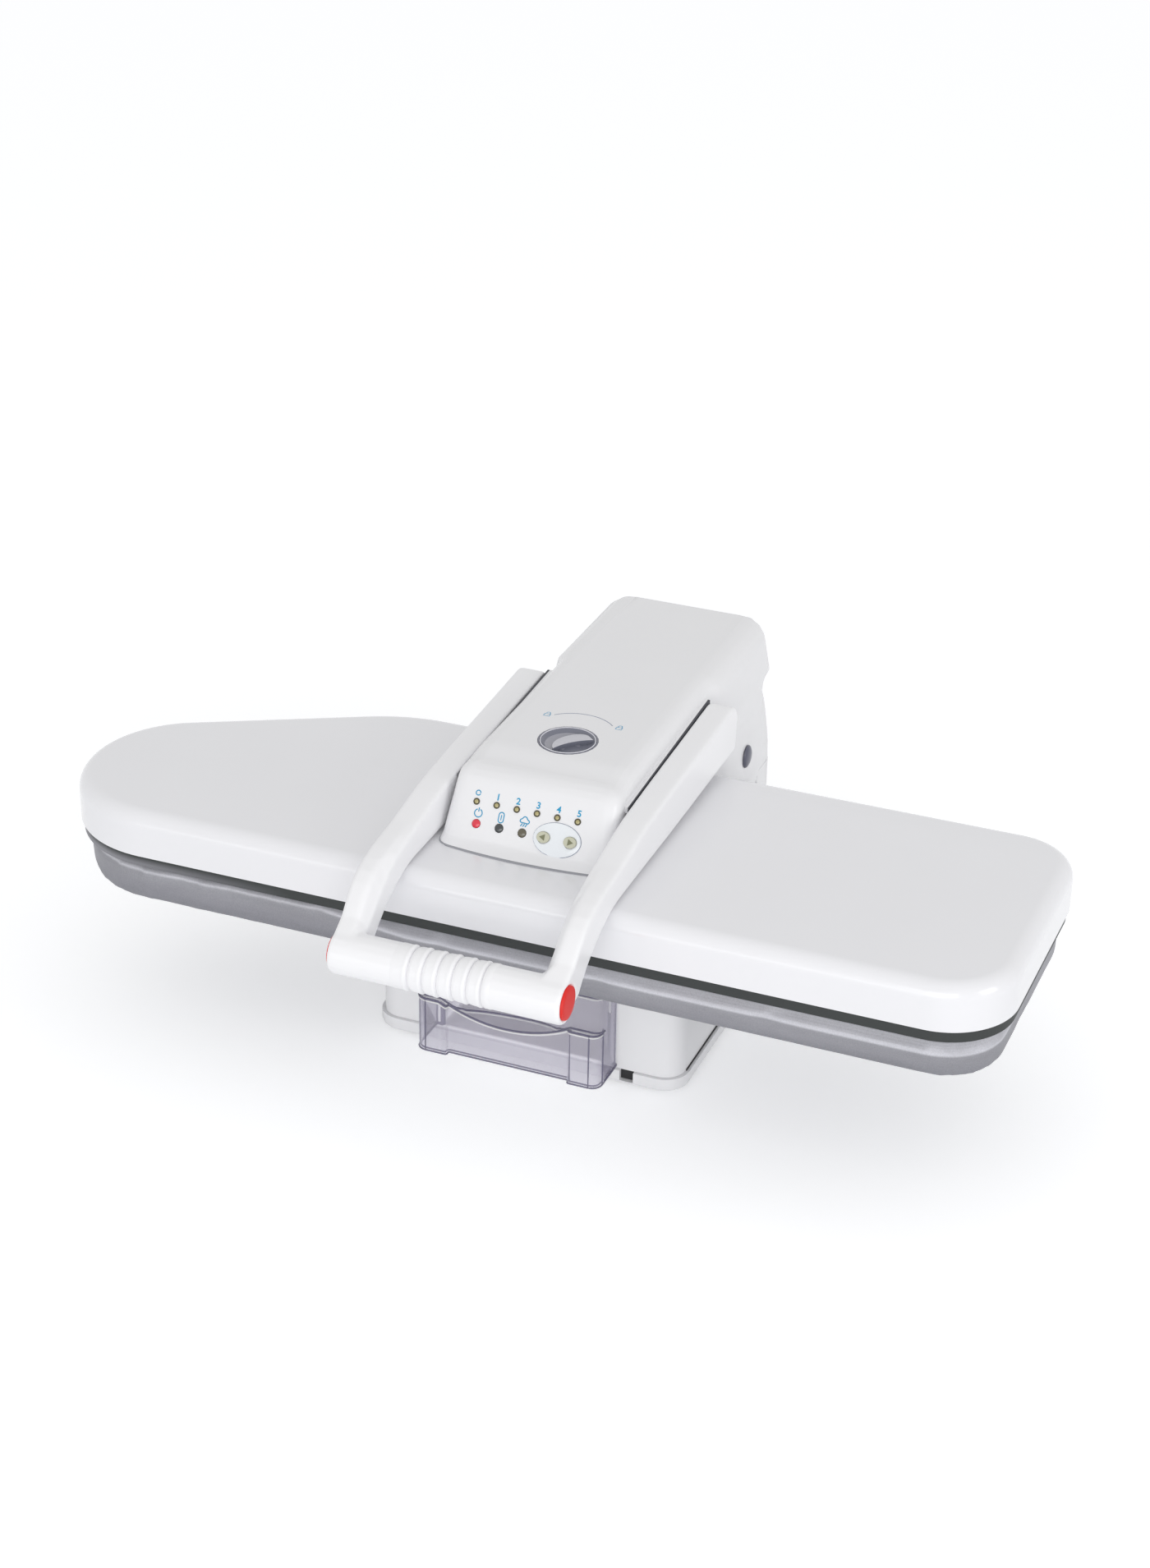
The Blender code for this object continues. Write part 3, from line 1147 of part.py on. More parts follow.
fixtures = bmesh.new()
post_x = BEAM_HALF - BEAM_SHEET / 2
for side in (-post_x, post_x):
    for back in (CHAMBER_START + BEAM_POST_MARGIN, CHAMBER_START + chamber_run - BEAM_POST_MARGIN):
        add_turned(fixtures, rod_profile(chamber_top + GAP, beam_low + BEAM_SHEET, BEAM_POST_RADIUS),
                   frame_at((side, FRONT + back, 0), (0, 0, 1)), SMALL_STEPS)
bolt_low = beam_top + GAP
guide_y = FRONT + GUIDE_BACK
tunnel_half = BOLT_HALF + GAP
guide_half = tunnel_half + GUIDE_SHEET
tunnel_top = bolt_low + BOLT_THICKNESS + GAP
guide_foot = beam_top - BEAM_SHEET / 2
guide_outline = [(-guide_half, guide_foot), (-tunnel_half, guide_foot), (-tunnel_half, tunnel_top),
                 (tunnel_half, tunnel_top), (tunnel_half, guide_foot), (guide_half, guide_foot),
                 (guide_half, tunnel_top + GUIDE_SHEET), (-guide_half, tunnel_top + GUIDE_SHEET)]
add_loft(fixtures, slab_rings(guide_outline, "Y", guide_y, guide_y + GUIDE_LENGTH))
shape_with(arm_beam, fixtures, "UNION")

# Lock: cup in the casing's top, knob with a finger ridge, spindle, cam, bolt and its guide
knob_pivot = make_pivot("knob_pivot", knob_place, arm_pivot)
knob_frame = frame_at(knob_place, knob_up)
spindle_bore = SPINDLE_RADIUS + GAP
turned("knob_cup", [(0, CUP_RADIUS), (-CUP_DEPTH, CUP_RADIUS), (-CUP_DEPTH, spindle_bore),
                    (-CUP_DEPTH + CUP_FLOOR, spindle_bore), (-CUP_DEPTH + CUP_FLOOR, CUP_RADIUS - CUP_WALL),
                    (0, CUP_RADIUS - CUP_WALL)], knob_frame, grey_plastic, arm_pivot, KNOB_STEPS, closed=True)
cam_low = beam_top + GAP * 2 + BOLT_THICKNESS
cam_drop = cam_low - casing_top
knob_low = -CUP_DEPTH + CUP_FLOOR + GAP
knob_profile = [(cam_drop + CAM_THICKNESS + GAP, 0), (cam_drop + CAM_THICKNESS + GAP, SPINDLE_RADIUS),
                (knob_low, SPINDLE_RADIUS), (knob_low, KNOB_RADIUS), (-GAP, KNOB_RADIUS),
                (0, KNOB_RADIUS - KNOB_RIM)]
for share in (0.75, 0.5, 0.25):
    knob_profile.append((-KNOB_DISH * (1 - share ** 2), (KNOB_RADIUS - KNOB_RIM) * share))
knob_profile.append((-KNOB_DISH, 0))
knob = turned("lock_knob", knob_profile, knob_frame, grey_plastic, knob_pivot, KNOB_STEPS)
ridge = bmesh.new()
turn = Matrix.Rotation(KNOB_TURN, 4, "Z")
leaf = []
for sign in (-1, 1):
    for i in range(8):
        share = -1 + 2 * i / 8
        leaf.append((-sign * share * KNOB_RIDGE_HALF,
                     -sign * (1 - share ** 2) * KNOB_RIDGE_WIDTH / 2))
leaf_rings = []
for level, shrink in ((-KNOB_DISH - KNOB_RIM, 1.0), (-KNOB_RIM, 0.9), (-KNOB_RIM / 2, 0.6)):
    leaf_rings.append([knob_frame @ turn @ Vector((x * (1 + shrink) / 2, y * shrink, level)) for x, y in leaf])
add_loft(ridge, leaf_rings)
shape_with(knob, ridge, "UNION")
turned("lock_cam", rod_profile(cam_drop + GAP, cam_drop + CAM_THICKNESS, CAM_RADIUS), knob_frame, zinc_steel,
       knob_pivot, 16)

bolt_pivot = make_pivot("bolt_slide", (0, FRONT + BOLT_START, bolt_low), arm_pivot)
bolt_y = FRONT + BOLT_START
box("lock_bolt", (-BOLT_HALF, bolt_y, bolt_low), (BOLT_HALF, bolt_y + BOLT_LENGTH, bolt_low + BOLT_THICKNESS - GAP),
    steel, bolt_pivot)

# Panel: lights, oval plate, buttons and the board behind them
guide_end = LED_FIRST + LED_PITCH * (LED_COUNT - 1) + BEZEL_RADIUS
guide_shape = rounded_box(LED_FIRST - BEZEL_RADIUS, LED_UP - BEZEL_RADIUS, guide_end, LED_UP + BEZEL_RADIUS,
                          LED_RADIUS, 3)
guide_back = on_panel(0, 0, stem_end)
light_guide = loft("led_light_guide", [[guide_back @ Vector((x, y, level)) for x, y in guide_shape]
                                       for level in (0, GUIDE_SHEET)], lens_amber, arm_pivot)
stems = bmesh.new()
for across, up in leds:
    add_turned(stems, [(stem_end + GUIDE_SHEET / 2, 0), (stem_end + GUIDE_SHEET / 2, LED_RADIUS),
                       (LED_PROUD / 2, LED_RADIUS), (LED_PROUD, LED_RADIUS / 2), (LED_PROUD, 0)],
               on_panel(across, up), 8)
shape_with(light_guide, stems, "UNION")
for (across, up), word, look in zip(lamps, ("power", "heat", "steam"), (lens_red, lens_dark, lens_olive)):
    turned("lamp_" + word, [(stem_end, 0), (stem_end, LAMP_RADIUS), (GAP, LAMP_RADIUS),
                            (LAMP_PROUD, LAMP_RADIUS * 0.7), (LAMP_PROUD * 1.2, 0)], on_panel(across, up), look,
           arm_pivot, 12)

oval = []
for i in range(24):
    turn_by = 2 * math.pi * i / 24
    oval.append((OVAL_HALF_LENGTH * math.cos(turn_by), OVAL_HALF_HEIGHT * math.sin(turn_by)))
oval_frame = on_panel(OVAL_ACROSS, OVAL_UP)
oval_rings = [[oval_frame @ Vector((x * size, y * size, level)) for x, y in oval]
              for level, size in ((GAP, 1.0), (OVAL_THICKNESS * 0.7, 1.0), (OVAL_THICKNESS, 0.97))]
oval_plate = loft("button_plate", oval_rings, white_plastic, arm_pivot)
plate_holes = bmesh.new()
for across, up in buttons:
    add_turned(plate_holes, rod_profile(-OVERRUN, OVERRUN, BUTTON_RADIUS + GAP), on_panel(across, up), 16)
shape_with(oval_plate, plate_holes)

head_low = BUTTON_TRAVEL + GAP
head_top = head_low + BUTTON_THICKNESS
stem_low = -(BOARD_DEPTH - SWITCH_HEIGHT - BUTTON_TRAVEL - GAP)
for (across, up), word in zip(buttons, ("left", "right")):
    spot = on_panel(across, up)
    button_pivot = make_pivot("button_slide_" + word, spot.translation, arm_pivot)
    turned("set_button_" + word, [(stem_low, 0), (stem_low, BUTTON_STEM_RADIUS), (head_low, BUTTON_STEM_RADIUS),
                                  (head_low, BUTTON_RADIUS), (head_top - BUTTON_THICKNESS / 3, BUTTON_RADIUS),
                                  (head_top, BUTTON_RADIUS * 0.9), (head_top, 0)], spot, button_plastic,
           button_pivot, 16)

back_frame = on_panel(0, 0, -BOARD_DEPTH)
board_shape = [(-BOARD_HALF, BOARD_LOW), (BOARD_HALF, BOARD_LOW), (BOARD_HALF, BOARD_HIGH), (-BOARD_HALF, BOARD_HIGH)]
control_board = loft("control_board", [[back_frame @ Vector((x, y, level)) for x, y in board_shape]
                                       for level in (-BOARD_SHEET, 0)], board_green, arm_pivot)
switches = bmesh.new()
for across, up in buttons:
    square = [(across - SWITCH_HALF, up - SWITCH_HALF), (across + SWITCH_HALF, up - SWITCH_HALF),
              (across + SWITCH_HALF, up + SWITCH_HALF), (across - SWITCH_HALF, up + SWITCH_HALF)]
    add_loft(switches, [[back_frame @ Vector((x, y, level)) for x, y in square]
                        for level in (-BOARD_SHEET / 2, SWITCH_HEIGHT)])
shape_with(control_board, switches, "UNION")

# Handle: arms shaped by shares of the handle's reach and rise, measured from the bar's axis
handle_pivot = make_pivot("handle_pivot", (0, pivot_y, pivot_z), arm_pivot)
TOP_SHARES = ((0.031, 0.301), (0.069, 0.449), (0.116, 0.585), (0.192, 0.674), (0.289, 0.727), (0.365, 0.790),
              (0.443, 0.846), (0.598, 0.900), (0.798, 0.953))
CHEEK_SHARES = ((0.044, 0.180), (0.076, 0.275), (0.117, 0.421), (0.192, 0.605), (0.289, 0.719), (0.365, 0.787),
                (0.443, 0.845), (0.598, 0.899), (0.798, 0.952))
LOW_SHARES = ((0.990, 0.474), (0.855, 0.458), (0.663, 0.430), (0.479, 0.414), (0.368, 0.408), (0.290, 0.400),
              (0.240, 0.378), (0.185, 0.300), (0.128, 0.165), (0.090, 0.035), (0.064, -0.085))


def handle_ring(across, top_shares):
    """Side view of one arm at one place across: up the front, back along the top, down the end and forward."""
    top = [(bar_y + HANDLE_REACH * a, bar_z + HANDLE_RISE * b) for a, b in top_shares]
    low = [(bar_y + HANDLE_REACH * a, bar_z + HANDLE_RISE * b) for a, b in LOW_SHARES]
    end_y, end_z = bar_y + HANDLE_REACH, bar_z + HANDLE_RISE
    points = smooth_line(top, 2)
    points += arc(end_y - HANDLE_END_RADIUS, end_z - HANDLE_END_RADIUS, HANDLE_END_RADIUS, 90, 0, 4)
    points += smooth_line(low, 2)
    points += arc(bar_y, bar_z, HANDLE_BOSS_RADIUS, -35, -262, 12)
    return [(across, y, z) for y, z in points]


handle_inner = HANDLE_HALF - HANDLE_WIDTH
disc_seat = HANDLE_HALF - DISC_DEPTH
for side, word in ((-1, "left"), (1, "right")):
    arm_rings = [handle_ring(side * handle_inner, CHEEK_SHARES),
                 handle_ring(side * (handle_inner + HANDLE_CHEEK), TOP_SHARES),
                 handle_ring(side * HANDLE_HALF, TOP_SHARES)]
    handle_arm = loft("handle_arm_" + word, arm_rings, white_plastic, handle_pivot)
    round_edges(handle_arm, HANDLE_EDGE)
    bored = bmesh.new()
    add_turned(bored, [(side * (handle_inner - OVERRUN), 0), (side * (handle_inner - OVERRUN), ROD_RADIUS + GAP),
                       (side * (disc_seat - GAP), ROD_RADIUS + GAP), (side * (disc_seat - GAP), DISC_RADIUS + GAP),
                       (side * (HANDLE_HALF + OVERRUN), DISC_RADIUS + GAP), (side * (HANDLE_HALF + OVERRUN), 0)],
               along_x(bar_y, bar_z))
    add_turned(bored, rod_profile(side * (handle_inner - OVERRUN), side * (handle_inner + PIVOT_DEPTH + RUNNING),
                                  PIVOT_RADIUS + GAP), along_x(pivot_y, pivot_z), 12)
    shape_with(handle_arm, bored)
    turned("grip_disc_" + word, [(side * disc_seat, 0), (side * disc_seat, DISC_RADIUS),
                                 (side * HANDLE_HALF, DISC_RADIUS),
                                 (side * (HANDLE_HALF + DISC_PROUD), DISC_RADIUS * 0.9),
                                 (side * (HANDLE_HALF + DISC_PROUD), 0)],
           along_x(bar_y, bar_z), red_plastic, handle_pivot, ROUND_STEPS)
    pin_in = CASING_TOP_HALF - CASING_WALL * 2 - PIVOT_HEAD
    turned("handle_pin_" + word,
           [(side * pin_in, 0), (side * pin_in, PIVOT_HEAD_RADIUS),
            (side * (pin_in + PIVOT_HEAD), PIVOT_HEAD_RADIUS), (side * (pin_in + PIVOT_HEAD), PIVOT_RADIUS),
            (side * (handle_inner + PIVOT_DEPTH), PIVOT_RADIUS), (side * (handle_inner + PIVOT_DEPTH), 0)],
           along_x(pivot_y, pivot_z), steel, arm_pivot, 12)

turned("handle_rod", rod_profile(-(disc_seat - GAP * 2), disc_seat - GAP * 2, ROD_RADIUS), along_x(bar_y, bar_z),
       steel, handle_pivot, SMALL_STEPS)

grip_half = handle_inner - GAP
ribs_half = GRIP_RIBS * GRIP_RIB_PITCH / 2
grip_bore = ROD_RADIUS + GAP
grip_profile = [(-grip_half, grip_bore), (-grip_half, GRIP_RADIUS - GRIP_END_CHAMFER),
                (-grip_half + GRIP_END_CHAMFER, GRIP_RADIUS), (-ribs_half - GRIP_RIB_PITCH / 4, GRIP_RADIUS)]
for i in range(GRIP_RIBS):
    start = -ribs_half + i * GRIP_RIB_PITCH
    grip_profile += [(start, GRIP_GROOVE_RADIUS), (start + GRIP_RIB_PITCH * 0.22, GRIP_RADIUS + GRIP_END_CHAMFER / 2),
                     (start + GRIP_RIB_PITCH * 0.5, GRIP_RIB_RADIUS),
                     (start + GRIP_RIB_PITCH * 0.78, GRIP_RADIUS + GRIP_END_CHAMFER / 2)]
grip_profile += [(ribs_half, GRIP_GROOVE_RADIUS), (ribs_half + GRIP_RIB_PITCH / 4, GRIP_RADIUS),
                 (grip_half - GRIP_END_CHAMFER, GRIP_RADIUS), (grip_half, GRIP_RADIUS - GRIP_END_CHAMFER),
                 (grip_half, grip_bore)]
turned("handle_grip", grip_profile, along_x(bar_y, bar_z), white_plastic, handle_pivot, ROUND_STEPS, closed=True)

# Pump in rubber cradles, with its hoses
pump_z = tray_floor + GAP + CRADLE_RISE + PUMP_RADIUS
pump_y = FRONT + PUMP_START
neck_out = PUMP_LENGTH + PUMP_NECK
turned("pump", [(-PUMP_NECK, 0), (-PUMP_NECK, PUMP_NECK_RADIUS), (0, PUMP_NECK_RADIUS), (0, PUMP_RADIUS),
                (PUMP_LENGTH, PUMP_RADIUS), (PUMP_LENGTH, PUMP_NECK_RADIUS), (neck_out, PUMP_NECK_RADIUS),
                (neck_out, 0)], along_y(-pump_side, pump_z, pump_y), dark_plastic, None, 16)
pump_cradle = box("pump_cradle", (-pump_side - CRADLE_HALF, pump_y, tray_floor + GAP),
                  (-pump_side + CRADLE_HALF, pump_y + PUMP_LENGTH, tray_floor + GAP + CRADLE_RISE / 2), rubber)
saddles = bmesh.new()
for share in CRADLE_SHARES:
    start = pump_y + PUMP_LENGTH * share
    add_loft(saddles, box_rings((-pump_side - CRADLE_HALF + GAP, start, tray_floor + GAP * 2),
                                (-pump_side + CRADLE_HALF - GAP, start + CRADLE_LENGTH, pump_z - GAP)))
shape_with(pump_cradle, saddles, "UNION")
seat_work = bmesh.new()
add_turned(seat_work, rod_profile(-OVERRUN, PUMP_LENGTH + OVERRUN, PUMP_RADIUS + GAP),
           along_y(-pump_side, pump_z, pump_y), 16)
shape_with(pump_cradle, seat_work)

socket_end = bay_end + GAP + SOCKET_LENGTH + GAP
hose_turn = pump_side / 4
inlet = pump_y - PUMP_NECK - GAP
suction = [(0, socket_end, valve_z), (0, socket_end + hose_turn / 8, valve_z),
           (0, socket_end + hose_turn / 4, valve_z), (-hose_turn / 2, socket_end + hose_turn * 0.7, valve_z),
           (-hose_turn * 1.6, socket_end + hose_turn * 0.7, (valve_z + pump_z) / 2),
           (-hose_turn * 2.7, socket_end + hose_turn * 0.5, pump_z),
           (-pump_side + hose_turn * 0.4, socket_end + hose_turn / 2, pump_z),
           (-pump_side, inlet - hose_turn / 2, pump_z), (-pump_side, inlet - hose_turn / 4, pump_z),
           (-pump_side, inlet, pump_z)]
add_tube("suction_hose", smooth_line(suction, 4), HOSE_RADIUS, hose_silicone)
feed_start = pump_y + neck_out + GAP
feed_x = -(COLUMN_HALF - COLUMN_PLATE) / 2
feed_run = column_back + HOSE_RADIUS * 1.5 - feed_start
feed = [(-pump_side, feed_start, pump_z), (-pump_side, feed_start + feed_run / 3, pump_z),
        (-pump_side, feed_start + feed_run * 0.7, pump_z + hose_turn / 4),
        (-pump_side + hose_turn * 0.8, feed_start + feed_run, pump_z + hose_turn / 2),
        (feed_x - hose_turn * 0.9, feed_start + feed_run * 0.9, pump_z + hose_turn * 1.2),
        (feed_x, brace_back + HOSE_RADIUS * 3, shell_top - BRACE_HEIGHT - hose_turn * 0.4),
        (feed_x, brace_back + HOSE_RADIUS * 2, shell_top)]
add_tube("feed_hose", smooth_line(feed, 4), HOSE_RADIUS, hose_silicone)
steam_z = chamber_top + NIPPLE_LENGTH + GAP
hose_top = beam_top - BEAM_SHEET - HOSE_RADIUS * 2
steam = [(0, nipple_y, steam_z), (0, nipple_y + HOSE_RADIUS, (steam_z + hose_top) / 2),
         (0, nipple_y + hose_turn, hose_top), (0, (nipple_y + knee_y) / 2, hose_top), (0, knee_y, hose_top)]
add_tube("steam_hose", smooth_line(steam, 4), HOSE_RADIUS, hose_silicone, arm_pivot)

# Power board on four posts, and the gland that the mains lead leaves through
board_z = tray_floor + GAP + POWER_POST_HEIGHT
board_start = FRONT + POWER_BOARD_START
board_end_x = board_side + POWER_BOARD_WIDTH
power_board = box("power_board", (board_side, board_start, board_z),
                  (board_end_x, board_start + POWER_BOARD_LENGTH, board_z + BOARD_SHEET), board_green)
standoffs = bmesh.new()
for x in (board_side + RELAY_MARGIN, board_end_x - RELAY_MARGIN):
    for y in (board_start + RELAY_MARGIN, board_start + POWER_BOARD_LENGTH - RELAY_MARGIN):
        add_turned(standoffs, rod_profile(tray_floor + GAP, board_z + BOARD_SHEET / 2, POWER_POST_RADIUS),
                   frame_at((x, y, 0), (0, 0, 1)), 8)
shape_with(power_board, standoffs, "UNION")
relay_z = board_z + BOARD_SHEET + GAP
box("power_relay", (board_side + RELAY_MARGIN, board_start + RELAY_MARGIN, relay_z),
    (board_end_x - RELAY_MARGIN, board_start + POWER_BOARD_LENGTH / 2, relay_z + RELAY_HEIGHT), dark_plastic)
turned("cord_gland", [(-GLAND_FLANGE, GLAND_BORE), (-GLAND_FLANGE, GLAND_FLANGE_RADIUS * 0.9),
                      (-GAP, GLAND_FLANGE_RADIUS), (-GAP, GLAND_RADIUS), (BASE_WALL + GLAND_FLANGE, GLAND_RADIUS),
                      (BASE_WALL + GLAND_FLANGE, GLAND_BORE)], gland_frame, dark_plastic, None, SMALL_STEPS,
       closed=True)
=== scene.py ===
"""A steam ironing press on a pale studio floor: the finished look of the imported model.

The sections follow the press as it is put together: light and camera, base and tank,
board, arm and lid, knob, panel, handle. Metres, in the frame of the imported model.
"""

import math

import bmesh
import bpy
from mathutils import Matrix, Vector, noise
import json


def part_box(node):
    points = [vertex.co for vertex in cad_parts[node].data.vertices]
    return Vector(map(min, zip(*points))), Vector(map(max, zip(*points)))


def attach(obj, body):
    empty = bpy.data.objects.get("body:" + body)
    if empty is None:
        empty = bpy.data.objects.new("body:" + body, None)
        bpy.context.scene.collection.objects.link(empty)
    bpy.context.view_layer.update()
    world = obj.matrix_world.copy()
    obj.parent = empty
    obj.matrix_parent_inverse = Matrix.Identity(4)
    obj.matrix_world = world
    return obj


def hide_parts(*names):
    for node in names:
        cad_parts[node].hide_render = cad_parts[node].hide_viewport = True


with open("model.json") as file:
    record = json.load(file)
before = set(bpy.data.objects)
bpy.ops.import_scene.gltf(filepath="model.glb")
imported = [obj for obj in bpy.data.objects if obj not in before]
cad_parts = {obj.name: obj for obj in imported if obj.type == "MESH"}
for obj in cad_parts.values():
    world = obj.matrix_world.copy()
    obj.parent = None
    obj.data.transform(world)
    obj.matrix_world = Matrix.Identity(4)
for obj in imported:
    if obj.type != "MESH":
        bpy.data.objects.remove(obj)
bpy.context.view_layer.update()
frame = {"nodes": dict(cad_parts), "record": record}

# Camera: a long lens a little to the right of the press and above it, as for a catalogue
# picture. It is turned about its own axis by one degree.
CAMERA_PLACE = (0.80688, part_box("plate_cover")[0][1] - 1.87048, 1.35187)
CAMERA_AZIMUTH = math.radians(21.53)
CAMERA_ELEVATION = math.radians(27.34)
CAMERA_ROLL = math.radians(1.09)
LENS_MM = 67.89
SENSOR_MM = 36.0

camera_data = bpy.data.cameras.new("camera")
camera_data.lens = LENS_MM
camera_data.sensor_width = SENSOR_MM
camera_data.clip_start = 0.05
camera_data.clip_end = 60.0
camera = bpy.data.objects.new("camera", camera_data)
bpy.context.scene.collection.objects.link(camera)
camera.matrix_world = (Matrix.Translation(CAMERA_PLACE)
                       @ Matrix.Rotation(CAMERA_AZIMUTH, 4, "Z")
                       @ Matrix.Rotation(math.pi / 2 - CAMERA_ELEVATION, 4, "X")
                       @ Matrix.Rotation(CAMERA_ROLL, 4, "Z"))
bpy.context.scene.camera = camera
bpy.context.scene.view_settings.view_transform = "Standard"


# Studio: a pale floor, an even white surround and large soft boxes in front and above.
# What the camera, gloss and glass see of the surround is plain white.
FLOOR_HALF = 30.0
SURROUND_LIGHT = 0.68
FLOOR_TINT = "#F4F5F7"
FLOOR_LIFT = 0.36
LAMP_AIM = Vector((0, 0, 0.15))


def linear(code):
    """An sRGB hex colour as the linear values that a shader takes."""
    parts = [int(code[i:i + 2], 16) / 255 for i in (1, 3, 5)]
    return (*[p / 12.92 if p <= 0.04045 else ((p + 0.055) / 1.055) ** 2.4 for p in parts], 1.0)


def adjust(tree, node, settings=(), **links):
    """Give a node its settings and values, and link the named inputs to the outputs given."""
    for key, value in dict(settings).items():
        if isinstance(key, str) and key in node.bl_rna.properties:
            setattr(node, key, value)
        else:
            node.inputs[key].default_value = value
    for key, source in links.items():
        name = key.replace("_", " ")
        tree.links.new(source, node.inputs[int(key[1:])] if key[1:].isdigit() else node.inputs[name])
    return node


def add_node(tree, kind, settings=(), **links):
    """Add a node with its settings and links."""
    return adjust(tree, tree.nodes.new("ShaderNode" + kind), settings, **links)


def seen_straight(tree):
    """One for what the camera, gloss and glass see, and nought for soft light."""
    path = add_node(tree, "LightPath")
    either = add_node(tree, "Math", {"operation": "MAXIMUM"}, i0=path.outputs["Is Camera Ray"],
                      i1=path.outputs["Is Glossy Ray"])
    return add_node(tree, "Math", {"operation": "MAXIMUM"}, i0=either.outputs[0],
                    i1=path.outputs["Is Transmission Ray"]).outputs[0]


def new_material(name):
    """A material, with its node tree and its main shader."""
    made = bpy.data.materials.new(name)
    made.use_nodes = True
    return made, made.node_tree, made.node_tree.nodes["Principled BSDF"]


def settle():
    """Put the selected objects' place, turn and size into their meshes."""
    bpy.ops.object.transform_apply(location=True, rotation=True, scale=True)


world = bpy.data.worlds.new("surround")
bpy.context.scene.world = world
world.use_nodes = True
tree = world.node_tree
tree.nodes.clear()
level = add_node(tree, "MapRange", {"To Min": SURROUND_LIGHT, "To Max": 1.0}, Value=seen_straight(tree))
ground = add_node(tree, "Background", {"Color": (1, 1, 1, 1)}, Strength=level.outputs[0])
add_node(tree, "OutputWorld", Surface=ground.outputs[0])

bpy.ops.object.select_all(action="DESELECT")
bpy.ops.mesh.primitive_plane_add(size=2 * FLOOR_HALF, location=(0, 0, 0))
floor = bpy.context.object
floor.name = "floor"
settle()
paint, tree, shader = new_material("matt_floor_paint")
adjust(tree, shader, {"Base Color": linear(FLOOR_TINT), "Roughness": 0.9, "Specular IOR Level": 0.0})
lift = add_node(tree, "Math", {"operation": "MULTIPLY", 1: FLOOR_LIFT}, i0=seen_straight(tree))
glow = add_node(tree, "Emission", Strength=lift.outputs[0])
both = add_node(tree, "AddShader", i0=shader.outputs[0], i1=glow.outputs[0])
adjust(tree, tree.nodes["Material Output"], Surface=both.outputs[0])
floor.data.materials.append(paint)

for name, place, size, power in (("front_box", (0.9, -3.0, 1.1), (2.4, 1.4), 23.0),
                                 ("low_front_box", (-0.3, -3.0, 0.35), (3.0, 0.6), 7.0),
                                 ("right_box", (3.0, -0.6, 1.0), (1.2, 1.2), 12.0)):
    lamp_data = bpy.data.lights.new(name, "AREA")
    lamp_data.shape = "RECTANGLE"
    lamp_data.size, lamp_data.size_y = size
    lamp_data.energy = power
    lamp = bpy.data.objects.new(name, lamp_data)
    bpy.context.scene.collection.objects.link(lamp)
    lamp.location = place
    lamp.rotation_euler = (LAMP_AIM - Vector(place)).to_track_quat("-Z", "Y").to_euler()


# Base: shell, tray and tank bay moulded in white ABS from a polished tool, on four rubber feet.
# The eye gets a soft gloss, a very slight unevenness and a faint change of tone.
def moulded_plastic(name, code, roughness, grain_mm=0.5, grain_depth_mm=0.003, tone=0.012, coat=0.0):
    """A moulded plastic or rubber: faint clouds of tone, uneven gloss and the tool's fine grain."""
    made, tree, shader = new_material(name)
    place = add_node(tree, "TexCoord").outputs["Object"]
    clouds = add_node(tree, "TexNoise", {"Scale": 1 / 0.07, "Detail": 2.0}, Vector=place)
    base = linear(code)
    pale = tuple(min(c * (1 + tone), 1.0) for c in base[:3]) + (1.0,)
    deep = tuple(c * (1 - tone) for c in base[:3]) + (1.0,)
    shade = add_node(tree, "Mix", {"data_type": "RGBA", 6: deep, 7: pale}, i0=clouds.outputs["Fac"])
    wear = add_node(tree, "MapRange", {"To Min": roughness * 0.88, "To Max": roughness * 1.12},
                    Value=clouds.outputs["Fac"])
    grain = add_node(tree, "TexNoise", {"Scale": 1000 / grain_mm, "Detail": 2.0}, Vector=place)
    bump = add_node(tree, "Bump", {"Strength": 1.0, "Distance": grain_depth_mm / 1000},
                    Height=grain.outputs["Fac"])
    adjust(tree, shader, {"IOR": 1.52, "Coat Weight": coat}, Base_Color=shade.outputs[2],
           Roughness=wear.outputs[0], Normal=bump.outputs[0])
    return made


body_of = {}
for body, members in frame["record"]["behaviour"]["bodies"].items():
    for member in members:
        body_of[member] = body


def take(piece):
    """Make a piece the active one and the only one selected."""
    bpy.ops.object.select_all(action="DESELECT")
    bpy.context.view_layer.objects.active = piece
    piece.select_set(True)


def finish_piece(piece, finish, node, *others, angle=35):
    """Smooth a finished mesh, give it its material, put it on its body and hide the nodes that it takes the place
    of.
    """
    take(piece)
    bpy.ops.object.shade_smooth_by_angle(angle=math.radians(angle))
    piece.data.materials.clear()
    piece.data.materials.append(finish)
    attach(piece, body_of[node])
    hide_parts(node, *others)


def merged_copy(node, name):
    """A copy of a node with its doubles merged, open to further work."""
    piece = bpy.data.objects.new(name, frame["nodes"][node].data.copy())
    bpy.context.scene.collection.objects.link(piece)
    take(piece)
    bpy.ops.mesh.customdata_custom_splitnormals_clear()
    bpy.ops.object.mode_set(mode="EDIT")
    bpy.ops.mesh.select_all(action="SELECT")
    bpy.ops.mesh.remove_doubles(threshold=0.00001)
    bpy.ops.object.mode_set(mode="OBJECT")
    return piece


def dress(finish, *nodes, angle=35):
    """Smooth copies of nodes, in their finish."""
    for node in nodes:
        finish_piece(merged_copy(node, node + "_skin"), finish, node, angle=angle)
